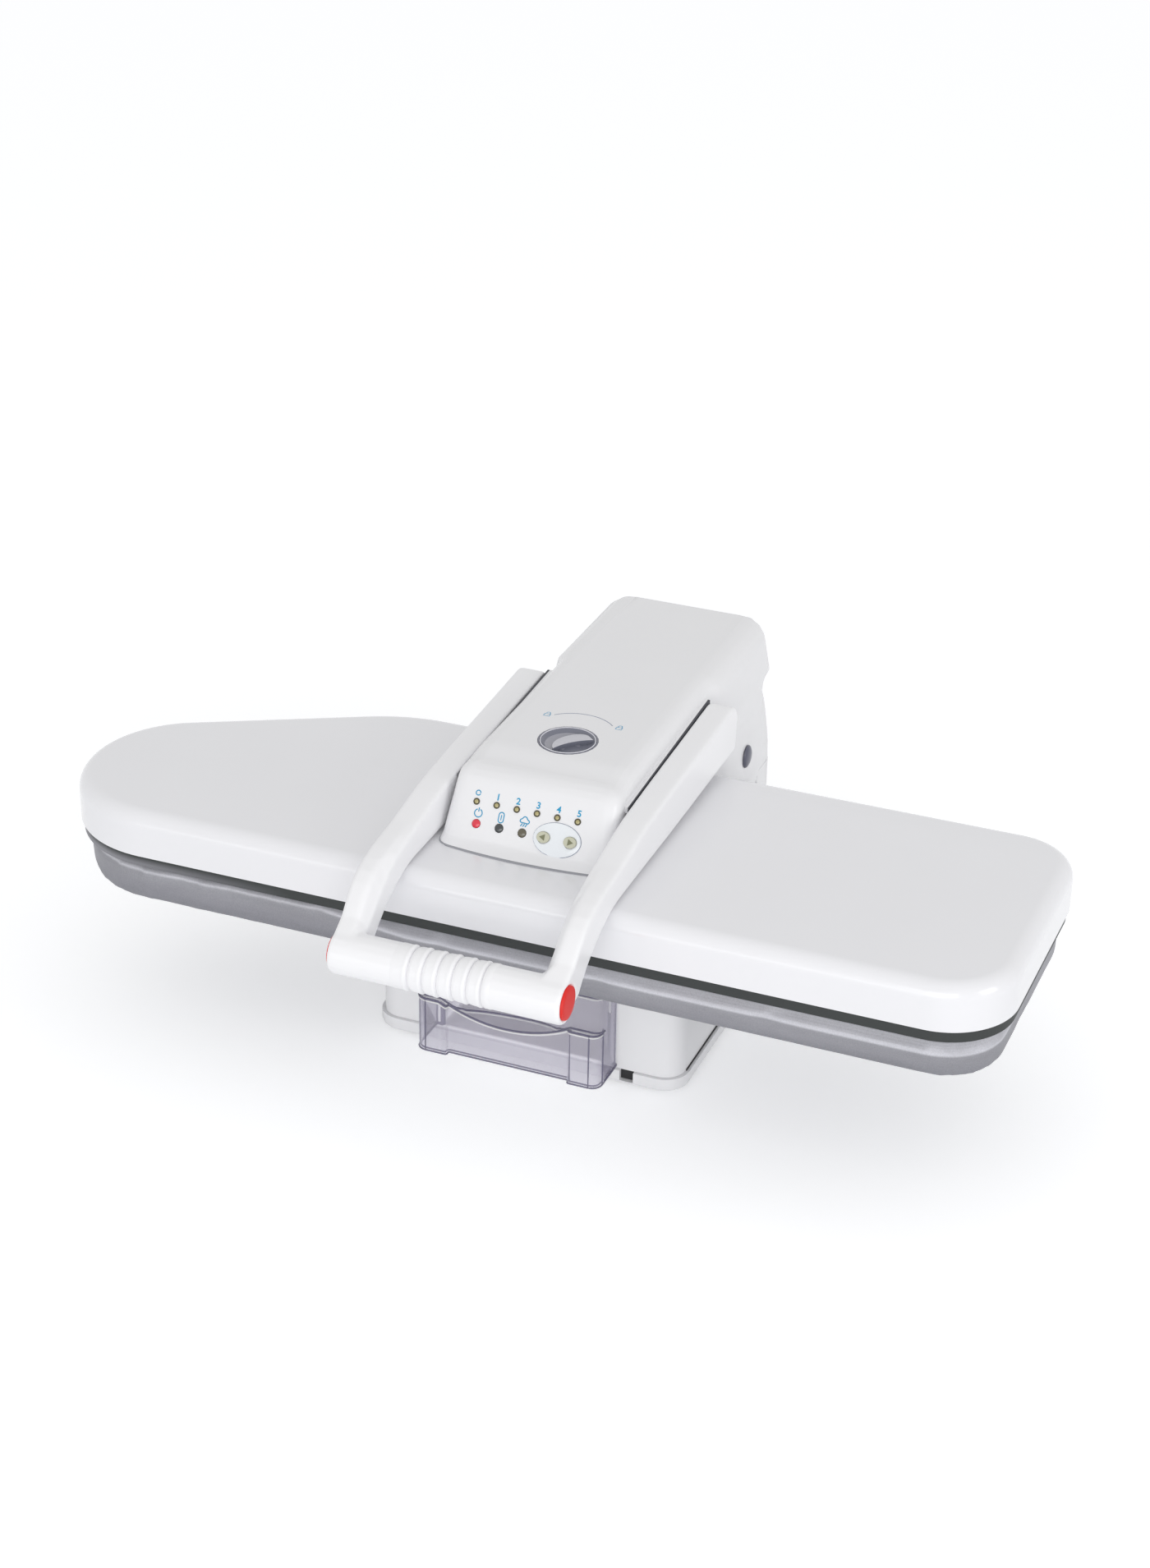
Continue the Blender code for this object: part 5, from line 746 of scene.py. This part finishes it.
# Lid: one big moulding in white enamelled plastic, 40 mm high with a soft upper edge, hollow
# below. The heating plate, its heat-proof frame and the steam chamber sit in it.
LID_EDGE = 0.0140
LID_WALL = 0.0030
RING_INSET = 0.0024
RING_DROP = 0.0022
RING_WALL = 0.0030
RING_HEIGHT = 0.0130
lid_level = lid_low[2]
lid_top = lid_high[2]
lid = drawn_face("lid_moulding", board_turns(0.0), lid_level, 24)
raise_face(lid_top - lid_level)
select_where(lid, "edges", lambda e, c: c.z > lid_top - 0.0001)
bpy.ops.mesh.bevel(offset=LID_EDGE, segments=10)
select_where(lid, "faces", lambda f, c: f.normal.z < -0.9 and c.z < lid_level + 0.0001)
bpy.ops.mesh.inset(thickness=LID_WALL, depth=0)
bpy.ops.mesh.extrude_region_move(TRANSFORM_OT_translate={"value": (0, 0, lid_top - lid_level - 2 * LID_WALL)})
bpy.ops.mesh.inset(thickness=LID_EDGE - LID_WALL, depth=-LID_WALL)
bpy.ops.object.mode_set(mode="OBJECT")
boolean(lid, block("lid_cutter", (-0.048, lid_front + 0.086, lid_top - 0.015),
                   (0.048, lid_front + 0.232, lid_top + 0.015)), "DIFFERENCE")
lid_white = moulded_plastic("enamelled_white_lid", "#F0F0F3", 0.2, 1.0, 0.003, 0.01, 0.3)
finish_piece(lid, lid_white, "plate_cover", angle=30)
dark_frame = moulded_plastic("heat_proof_phenolic", "#2C3030", 0.6, 0.5, 0.01)
frame_ring = drawn_face("edge_frame_ring", board_turns(RING_INSET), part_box("edge_frame")[0][2] - RING_DROP, 24)
bpy.ops.mesh.inset(thickness=RING_WALL, depth=0)
bpy.ops.mesh.delete(type="FACE")
bpy.ops.mesh.select_all(action="SELECT")
raise_face(RING_HEIGHT)
bpy.ops.object.mode_set(mode="OBJECT")

# The frame's lip is painted a paler grey towards the nose and its lower edge: painted shade, the look of the cloth
# in shade there.
LIP_PAINTED_SHADE_GREY = "#8A8A90"
ring_painted_shade = moulded_plastic("heat_proof_phenolic_painted_lip", "#2C3030", 0.6, 0.5, 0.01)
tree = ring_painted_shade.node_tree
shader = tree.nodes["Principled BSDF"]
place = add_node(tree, "TexCoord").outputs["Object"]
apart = add_node(tree, "SeparateXYZ", Vector=place)
nose = add_node(tree, "MapRange", {"From Min": -0.36, "From Max": -0.18, "To Min": 1.0, "To Max": 0.0},
                Value=apart.outputs["X"])
lip = add_node(tree, "MapRange", {"From Min": 0.1550, "From Max": 0.1605, "To Min": 1.0, "To Max": 0.0},
               Value=apart.outputs["Z"])
painted_shade_share = add_node(tree, "Math", {"operation": "MULTIPLY"}, i0=nose.outputs[0], i1=lip.outputs[0])
lip_painted_shade_mix = add_node(tree, "Mix", {"data_type": "RGBA", 7: linear(LIP_PAINTED_SHADE_GREY)}, i0=painted_shade_share.outputs[0],
                  i6=shader.inputs["Base Color"].links[0].from_socket)
adjust(tree, shader, Base_Color=lip_painted_shade_mix.outputs[2])
extra(frame_ring, ring_painted_shade, body_of["edge_frame"])
dress(dark_frame, "edge_frame")
aluminium = metal("ground_aluminium", "#C2C4C8", 0.34, 0.5, (1, 14, 1))
cast_aluminium = metal("cast_aluminium", "#B5B7BA", 0.5, 1.5)
dress(aluminium, "heating_plate")
dress(cast_aluminium, "steam_chamber")
dress(steel, "heating_element")
dress(zinc, "thermostat")


# Arm: a white moulded casing on a zinc-plated frame, with grey caps over the hinge shaft's ends.
# Its foot flares over a thin grey line on the lid, painted shade under the foot, and dark strips on white seats,
# painted shade, fill the gaps to the handle.
grey_abs = moulded_plastic("grey_abs", "#7C7D8C", 0.3, 0.5, 0.004)
cap_grey = moulded_plastic("dark_grey_abs", "#5A5C6C", 0.32, 0.5, 0.004)
gap_painted_shade = moulded_plastic("bumper_rubber", "#4B4C52", 0.7)
PANEL_HALF = 0.0655
FOOT_REACH = 0.0058
FOOT_BOW = 0.0058
FOOT_RISE = 0.0056
FLARE_BACK = 0.0180
PANEL_RUN = 0.0340
PANEL_RISE = 0.0560
TOP_RADIUS = 0.0160
TOP_DROP = 0.0047
TOP_FADE = 0.0260
SHADE_STRIP_START = 0.1030
SHADE_STRIP_END = 0.2960
SHADE_STRIP_SLOPE = 0.0606
panel_foot = lid_front + 0.059
foot_level = lid_top + 0.0003
casing_top = lid_top + 0.061
casing = merged_copy("arm_casing", "arm_casing_skin")
bpy.ops.object.mode_set(mode="EDIT")
for level in (0.0004, 0.0012, 0.0022, 0.0032, 0.0044, FOOT_RISE):
    cut_across((0, 0, foot_level + level), (0, 0, 1))
for column in range(-5, 6):
    cut_across((column * 0.0105, 0, 0), (1, 0, 0))
for step in (0.020, 0.048, 0.054, 0.060, 0.066, 0.072, 0.078):
    cut_across((0, panel_foot + step, 0), (0, 1, 0))
bpy.ops.object.mode_set(mode="OBJECT")
for vertex in casing.data.vertices:
    height = vertex.co.z - foot_level
    if -0.0005 < height < FOOT_RISE and vertex.co.y < panel_foot + FLARE_BACK:
        share = ((1 - max(height, 0.0) / FOOT_RISE) ** 1.6
                 * min(1.0, (panel_foot + FLARE_BACK - vertex.co.y) / 0.012))
        vertex.co.y -= share * (FOOT_REACH + FOOT_BOW * max(0.0, 1 - (vertex.co.x / PANEL_HALF) ** 2))
shoulder = casing_top - TOP_RADIUS
for vertex in casing.data.vertices:
    share = share_of((vertex.co.z - shoulder) / TOP_RADIUS)
    edge_gap = vertex.co.y - (panel_foot + (shoulder - foot_level) * PANEL_RUN / PANEL_RISE) - 0.021
    near = 1 - share_of(edge_gap / TOP_FADE)
    vertex.co.z -= TOP_DROP * share * near * near * (3 - 2 * near)
finish_piece(casing, white_abs, "arm_casing", angle=32)
for side, word in ((-1, "left"), (1, "right")):
    # The dark strips are painted shade in the gaps between the casing and the handle's arms; the white seats under
    # them close the rest.
    for name, near, far, start, finish in (("bumper_", 0.0732, 0.0752, SHADE_STRIP_START, gap_painted_shade),
                                           ("bumper_seat_", 0.0690, 0.0732, SHADE_STRIP_START + 0.001, white_abs)):
        ends = sorted((side * near, side * far))
        strip = block(name + word, (ends[0], lid_front + start, lid_top + 0.0400),
                      (ends[1], lid_front + SHADE_STRIP_END, lid_top + 0.0458), math.atan(SHADE_STRIP_SLOPE))
        for vertex in strip.data.vertices:
            if vertex.co.y < lid_front + 0.15 and abs(vertex.co.x) > 0.0700:
                vertex.co.x = side * (0.0742 if abs(vertex.co.x) < 0.0740 else 0.0752)
        extra(strip, finish, "arm")
# The grey line under the casing's foot is painted shade.
foot_line_painted_shade = moulded_plastic("grey_painted_shade_line", "#A2A3A9", 0.8, 1.0, 0.02)
bow_radius = (PANEL_HALF ** 2 + FOOT_BOW ** 2) / (2 * FOOT_BOW)
bow_angle = math.degrees(math.asin(0.0630 / bow_radius))
bow_middle = panel_foot - FOOT_REACH - FOOT_BOW - 0.0004 + bow_radius
foot_shade_line = drawn_face("casing_foot_shade_line", [(0, bow_middle, bow_radius, 270 - bow_angle, 270 + bow_angle),
                                      (0.0623, panel_foot + 0.0060, 0.0115, 300, 360),
                                      (0.0733, lid_front + 0.262, 0.0010, 0, 90),
                                      (-0.0733, lid_front + 0.262, 0.0010, 90, 180),
                                      (-0.0623, panel_foot + 0.0060, 0.0115, 180, 240)], lid_top + 0.0001, 120)
raise_face(0.0008)
bpy.ops.object.mode_set(mode="OBJECT")
extra(foot_shade_line, foot_line_painted_shade, "arm")
dress(cap_grey, "hinge_cap_left", "hinge_cap_right")
dress(zinc, "arm_beam")
dress(steel, "handle_pin_left", "handle_pin_right")


# Lock knob: a dished grey disc with a thin bright rim and a leaf-shaped ridge for the fingers,
# in a cup let into the casing's top. An arc with an open and a closed mark is printed behind it.
KNOB_PLACE = Vector((0, lid_front + 0.157, casing_top))
KNOB_TILT = math.atan(0.0125)
RIDGE_SLOPE = 0.10
RIDGE_TURN = math.radians(47.7)


def spun(name, profile, steps=64):
    """A piece turned about the Z axis, from its profile of radius and height."""
    piece, at = first_point(name)
    for number, (radius, height) in enumerate(profile):
        spot = Vector((radius, 0, height))
        if number == 0:
            bpy.ops.transform.translate(value=spot - at)
        else:
            bpy.ops.mesh.extrude_region_move(TRANSFORM_OT_translate={"value": spot - at})
        at = spot
    bpy.ops.mesh.select_all(action="SELECT")
    bpy.ops.mesh.spin(steps=steps, angle=math.tau, center=(0, 0, 0), axis=(0, 0, 1))
    bpy.ops.mesh.select_all(action="SELECT")
    bpy.ops.mesh.remove_doubles(threshold=0.00001)
    bpy.ops.mesh.normals_make_consistent(inside=False)
    bpy.ops.object.mode_set(mode="OBJECT")
    return piece


def put(piece, place):
    """Lay a piece in its place: the place goes into its mesh, and the object stays at the origin."""
    take(piece)
    piece.matrix_world = place
    settle()


knob_frame = Matrix.Translation(KNOB_PLACE) @ Matrix.Rotation(KNOB_TILT, 4, "X")
disc = spun("knob_disc", [(0, -0.0040), (0.0100, -0.0040), (0.0165, -0.0037), (0.0192, -0.0029), (0.0212, -0.0013),
                          (0.0222, -0.0002), (0.0228, 0.0002), (0.0234, 0.0), (0.0236, -0.0008), (0.0236, -0.0060),
                          (0.0225, -0.0066), (0, -0.0066)], 96)
put(disc, knob_frame)
ridge = drawn_face("knob_ridge", [(0.0060, -0.0135, 0.0242, 168.5, 72), (0.0107, 0.0009, 0.0090, 72, 0),
                                  (0.0005, -0.0448, 0.0407, 62.8, 117.2)], -0.0046, 40)
raise_face(0.0044)
bpy.ops.object.mode_set(mode="OBJECT")
for vertex in ridge.data.vertices:
    if vertex.co.z > -0.0040:
        vertex.co.z = -0.0001 - RIDGE_SLOPE * (vertex.co.y + 0.0041)
put(ridge, knob_frame @ Matrix.Rotation(RIDGE_TURN, 4, "Z"))

# Painted light and shade: the ridge's top is a paler silver as painted light, the rim a bright
# silver as a painted highlight, and the walls, the ridge's sides and the disc's far side a deeper grey as painted
# shade.
knob_grey = moulded_plastic("silver_grey_abs", "#A3A3AD", 0.22, 0.5, 0.003)
shaded_grey = moulded_plastic("grey_abs_painted_shade", "#777986", 0.3, 0.5, 0.003)
leaf_painted_light = moulded_plastic("silver_painted_light", "#CBCBD3", 0.3, 0.5, 0.002)
rim_painted_highlight = moulded_plastic("silver_painted_highlight", "#DCDCE4", 0.25, 0.5, 0.002)
across = Matrix.Rotation(RIDGE_TURN, 3, "Z") @ Vector((0, 1, 0))
up = knob_frame.to_3x3() @ Vector((0, 0, 1))
for part, top_finish in ((disc, knob_grey), (ridge, leaf_painted_light)):
    finish_piece(part, top_finish, "lock_knob", angle=30)
    part.data.materials.append(shaded_grey)
for face in disc.data.polygons:
    gap = face.center - KNOB_PLACE
    wall = 0.0190 < (gap - up * gap.dot(up)).length < 0.0225
    face.material_index = 1 if wall or gap.dot(across) < -0.0045 else 0
for face in ridge.data.polygons:
    face.material_index = 0 if face.normal.dot(up) > 0.8 else 1
rim = spun("knob_rim", [(0.0226, 0.0001), (0.0229, 0.0006), (0.0233, 0.0006), (0.0236, 0.0001), (0.0231, -0.0003),
                        (0.0226, 0.0001)], 96)
put(rim, knob_frame)
finish_piece(rim, rim_painted_highlight, "lock_knob", angle=60)
dress(grey_abs, "knob_cup")
dress(zinc, "lock_cam")
dress(steel, "lock_bolt")

print_blue = moulded_plastic("cyan_pad_printing", "#1F9CC8", 0.5, 0.3, 0.002, 0.03)


def printed_line(name, points, width, place, finish, closed=False):
    """A line printed on the arm, as a flat ribbon: a curve with its width, made a mesh and laid in its place."""
    path = bpy.data.curves.new(name, "CURVE")
    path.dimensions = "3D"
    path.bevel_depth = width / 2
    path.bevel_resolution = 1
    spline = path.splines.new("POLY")
    spline.points.add(len(points) - 1)
    for point, (x, y) in zip(spline.points, points):
        point.co = (x, y, 0, 1)
    spline.use_cyclic_u = closed
    line = bpy.data.objects.new(name, path)
    bpy.context.scene.collection.objects.link(line)
    take(line)
    bpy.ops.object.convert(target="MESH")
    line = bpy.context.object
    put(line, place @ Matrix.Diagonal((1, 1, 0.25, 1)))
    extra(line, finish, "arm")


def arc_points(x, y, radius, start, end, count=24):
    """Points along an arc, from one angle to another in degrees."""
    return [on_circle(x, y, radius, start + (end - start) * i / count, 0)[:2] for i in range(count + 1)]


top_frame = knob_frame @ Matrix.Translation((0, 0, 0.00008))
print_grey = moulded_plastic("grey_pad_printing", "#8A94AA", 0.5, 0.3, 0.002, 0.03)
printed_line("lock_arc", arc_points(-0.0020, 0.0130, 0.0370, 135, 45, 32), 0.0007, top_frame, print_grey)
for name, x, shut in (("open_mark", -0.0338, False), ("closed_mark", 0.0309, True)):
    lock_place = top_frame @ Matrix.Translation((x, 0.0371, 0))
    printed_line(name + "_body", [(-0.0026, -0.0022), (0.0026, -0.0022), (0.0026, 0.0014), (-0.0026, 0.0014)],
                 0.0007, lock_place, print_blue, closed=True)
    bow = [(0.0017, 0.0014)] + arc_points(0, 0.0030, 0.0017, 0, 180, 10)
    if shut:
        bow.append((-0.0017, 0.0014))
    printed_line(name + "_bow", bow, 0.0006, lock_place, print_blue)


# Control panel: six small lamps in a row with a number over each, three larger ones with
# marks, and two rubber buttons in a pale oval plate. The marks are pad printed.
PANEL_UP = Vector((0, PANEL_RUN, PANEL_RISE)).normalized()
PANEL_OUT = Vector((0, -PANEL_RISE, PANEL_RUN)).normalized()
panel_frame = Matrix(((1, 0, 0, 0), (0, PANEL_UP.y, PANEL_OUT.y, panel_foot),
                      (0, PANEL_UP.z, PANEL_OUT.z, foot_level), (0, 0, 0, 1)))
LED_ROW = [(-0.0474 + 0.0177 * i, 0.0371) for i in range(6)]
LAMP_ROW = [(-0.0439 + 0.0202 * i, 0.0193) for i in range(3)]
OVAL = (0.0272, 0.0194)
OVAL_HALVES = (0.0206, 0.0139)
BUTTON_STRETCH = (1.08, 0.90, 1, 1)
FIGURE_SIZE = 0.0075
khaki_rubber = moulded_plastic("khaki_silicone_rubber", "#C8C8B2", 0.5)
khaki_print = moulded_plastic("olive_print", "#7C7D60", 0.55)
for node, name, code in (("lamp_power", "red_lamp_lens", "#E0203C"), ("lamp_heat", "smoked_lamp_lens", "#33383A"),
                         ("lamp_steam", "olive_lamp_lens", "#5A5440")):
    dress(moulded_plastic(name, code, 0.12, coat=0.6), node)
amber_lens = moulded_plastic("amber_light_guide", "#B3A873", 0.15, coat=0.5)
bezel_dark = moulded_plastic("dark_olive_bezel", "#4B4630", 0.4)
dress(amber_lens, "led_light_guide")
oval_plate = moulded_plastic("pearl_panel_film", "#EEF2F6", 0.22, coat=0.4)
plate = merged_copy("button_plate", "button_plate_skin")
plate.data.transform(panel_frame.inverted())
for node in ("set_button_left", "set_button_right"):
    cap = merged_copy(node, node + "_skin")
    low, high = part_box(node)
    middle = panel_frame.inverted() @ ((Vector(low) + Vector(high)) / 2)
    widen = Matrix.Translation(middle) @ Matrix.Diagonal(BUTTON_STRETCH) @ Matrix.Translation(-middle)
    cap.data.transform(panel_frame @ widen @ panel_frame.inverted())
    finish_piece(cap, khaki_rubber, node)
    for vertex in plate.data.vertices:
        if math.hypot(vertex.co.x - middle.x, vertex.co.y - middle.y) < 0.0060:
            vertex.co = widen @ vertex.co
plate.data.transform(panel_frame)
finish_piece(plate, oval_plate, "button_plate")
for number, (x, y) in enumerate(LED_ROW):
    ring = spun("led_bezel_%d" % number, [(0.0019, 0.0001), (0.0019, 0.0006), (0.0024, 0.0008), (0.0028, 0.0005),
                                          (0.0028, 0.0001), (0.0019, 0.0001)], 32)
    put(ring, panel_frame @ Matrix.Translation((x, y, 0)))
    bpy.ops.object.shade_smooth_by_angle(angle=math.radians(35))
    extra(ring, bezel_dark, "arm")
    if number == 0:
        continue
    bpy.ops.object.select_all(action="DESELECT")
    bpy.ops.object.text_add(location=(0, 0, 0))
    figure = bpy.context.object
    figure.name = "number_%d" % number
    figure.data.body = str(number)
    figure.data.size = FIGURE_SIZE
    figure.data.align_x = "CENTER"
    figure.data.extrude = 0.00004
    figure.data.offset = 0.0002
    bpy.ops.object.convert(target="MESH")
    figure = bpy.context.object
    put(figure, panel_frame @ Matrix.Translation((x, y + 0.0042, 0.00006)))
    extra(figure, print_blue, "arm")


def panel_mark(name, points, width=0.0009, closed=False):
    """A line of a blue mark on the panel."""
    printed_line(name, points, width, panel_frame @ Matrix.Translation((0, 0, 0.00008)), print_blue, closed)


panel_mark("ready_mark", arc_points(LED_ROW[0][0], LED_ROW[0][1] + 0.0072, 0.0020, 0, 345, 20))
x, y = LAMP_ROW[0][0], LAMP_ROW[0][1] + 0.0088
panel_mark("power_ring", arc_points(x, y, 0.0033, 112, 428, 30))
panel_mark("power_bar", [(x, y + 0.0012), (x, y + 0.0046)])
x = LAMP_ROW[1][0]
panel_mark("heat_capsule", arc_points(x, y + 0.0021, 0.0022, 0, 180, 12)
           + arc_points(x, y - 0.0021, 0.0022, 180, 360, 12), closed=True)
panel_mark("heat_bar", [(x, y - 0.0022), (x, y + 0.0022)], 0.0008)
x = LAMP_ROW[2][0]
panel_mark("steam_cloud", arc_points(x - 0.0022, y + 0.0010, 0.0015, 250, 95, 10)
           + arc_points(x + 0.0002, y + 0.0026, 0.0020, 160, 10, 12)
           + arc_points(x + 0.0028, y + 0.0008, 0.0015, 80, -80, 10), closed=True)
for step in (-0.0020, 0.0, 0.0020):
    panel_mark("steam_line_%d" % round(step * 1000 + 3),
               [(x + step + 0.0006, y - 0.0012), (x + step - 0.0006, y - 0.0036)])
outline = [(OVAL[0] + OVAL_HALVES[0] * math.cos(a), OVAL[1] + OVAL_HALVES[1] * math.sin(a))
           for a in [math.tau * i / 64 for i in range(64)]]
printed_line("oval_outline", outline, 0.0004, panel_frame @ Matrix.Translation((0, 0, 0.0002)), print_grey,
             closed=True)
for node, side in (("set_button_left", -1), ("set_button_right", 1)):
    x = OVAL[0] + side * 0.0116
    bpy.ops.object.select_all(action="DESELECT")
    bpy.ops.mesh.primitive_cylinder_add(vertices=3, radius=0.0031, depth=0.00012, location=(0, 0, 0),
                                        rotation=(0, 0, -side * math.pi / 2))
    arrow = bpy.context.object
    arrow.name = node.replace("set_button", "arrow")
    settle()
    put(arrow, panel_frame @ Matrix.Translation((x, OVAL[1], 0.0030)))
    extra(arrow, khaki_print, body_of[node])


# Handle: two arms and a ribbed bar moulded as one piece in white ABS round a steel rod, with a
# red disc pressed into each end of the bar.
BAR_RADIUS = 0.0181
BAR_NECK = 0.0176
NECK_LENGTH = 0.0020
RIBBED_HALF = 0.0400
RIB_COUNT = 6
RIB_PITCH = 0.0124
RIBS_MIDDLE = 0.0032
RIB_SHAPE = ((0.05, 0.0164), (0.13, 0.0174), (0.32, 0.0178), (0.56, 0.0179), (0.68, 0.0181), (0.76, 0.0184),
             (0.83, 0.0184), (0.91, 0.0178), (0.97, 0.0163), (1.0, 0.0152))
parts = [merged_copy(node, node + "_part") for node in ("handle_arm_left", "handle_arm_right", "handle_grip")]
grip_low, grip_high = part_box("handle_grip")
bar_y = (grip_low[1] + grip_high[1]) / 2
bar_z = (grip_low[2] + grip_high[2]) / 2
for side in (-1, 1):
    bpy.ops.object.select_all(action="DESELECT")
    bpy.ops.mesh.primitive_cylinder_add(vertices=48, radius=0.0178, depth=0.012,
                                        location=(side * 0.076, bar_y, bar_z), rotation=(0, math.pi / 2, 0))
    settle()
    parts.append(bpy.context.object)
bpy.ops.object.select_all(action="DESELECT")
for part in parts:
    part.select_set(True)
handle = parts[0]
bpy.context.view_layer.objects.active = handle
bpy.ops.object.join()
handle.name = "handle_moulding"
modified(handle, "REMESH", mode="VOXEL", voxel_size=0.0013)
modified(handle, "SMOOTH", factor=0.5, iterations=6)
bpy.ops.object.mode_set(mode="EDIT")
for side in (-1, 1):
    cut_across((side * RIBBED_HALF, 0, 0), (1, 0, 0))
select_where(handle, "verts", lambda v, c: abs(c.x) < RIBBED_HALF - 0.00002)
bpy.ops.mesh.delete(type="VERT")
bpy.ops.object.mode_set(mode="OBJECT")
rear_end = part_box("handle_arm_left")[1][1]
rear_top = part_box("handle_arm_left")[1][2]
for vertex in handle.data.vertices:
    point = vertex.co
    if point.x < -0.078:
        near = max(0.0, 1 - max(0.0, point.z - bar_z - 0.016) / 0.040)
        point.x += 0.0034 * near * min(1.0, (-0.078 - point.x) / 0.014)
    late = (point.y - rear_end + 0.020) / 0.020
    if late > 0 and point.z > rear_top - 0.022:
        drop = 0.0095 * (1 - math.sqrt(max(0.0, 1 - min(late, 1.0) ** 2)))
        point.z -= drop * min(1.0, (point.z - rear_top + 0.022) / 0.012)
handle_white = moulded_plastic("satin_white_abs", "#F8F8FA", 0.3)
finish_piece(handle, handle_white, "handle_arm_left", "handle_arm_right", "handle_grip", angle=180)
profile = [(0, -RIBBED_HALF - NECK_LENGTH), (BAR_NECK, -RIBBED_HALF - NECK_LENGTH), (BAR_RADIUS, -RIBBED_HALF)]
for number in range(RIB_COUNT):
    groove = RIBS_MIDDLE + (number - (RIB_COUNT - 1) / 2) * RIB_PITCH
    shape = RIB_SHAPE if number else RIB_SHAPE[3:]
    profile += [(radius, groove - (1 - share) * RIB_PITCH) for share, radius in shape]
last = RIBS_MIDDLE + (RIB_COUNT - 1) / 2 * RIB_PITCH
profile += [(0.0172, last + 0.0006), (0.0180, last + 0.0016), (BAR_RADIUS, RIBBED_HALF),
            (BAR_NECK, RIBBED_HALF + NECK_LENGTH), (0, RIBBED_HALF + NECK_LENGTH)]
ribs = spun("ribbed_grip", profile, 72)
put(ribs, Matrix.Translation((0, bar_y, bar_z)) @ Matrix.Rotation(math.pi / 2, 4, "Y"))
finish_piece(ribs, handle_white, "handle_grip", angle=60)
red_abs = moulded_plastic("red_abs", "#E01C12", 0.5)
for side, word in ((-1, "left"), (1, "right")):
    reach = 0.0937 if side < 0 else 0.0970
    button = spun("red_disc_" + word, [(0, reach), (0.0136, reach), (0.0137, reach + 0.0032),
                                       (0.0135, reach + 0.0038), (0.0129, reach + 0.0041),
                                       (0.0090, reach + 0.0043), (0, reach + 0.0044)], 64)
    put(button, Matrix.Translation((0, bar_y, bar_z)) @ Matrix.Rotation(side * math.pi / 2, 4, "Y"))
    finish_piece(button, red_abs, "grip_disc_" + word, angle=35)
dress(steel, "handle_rod")
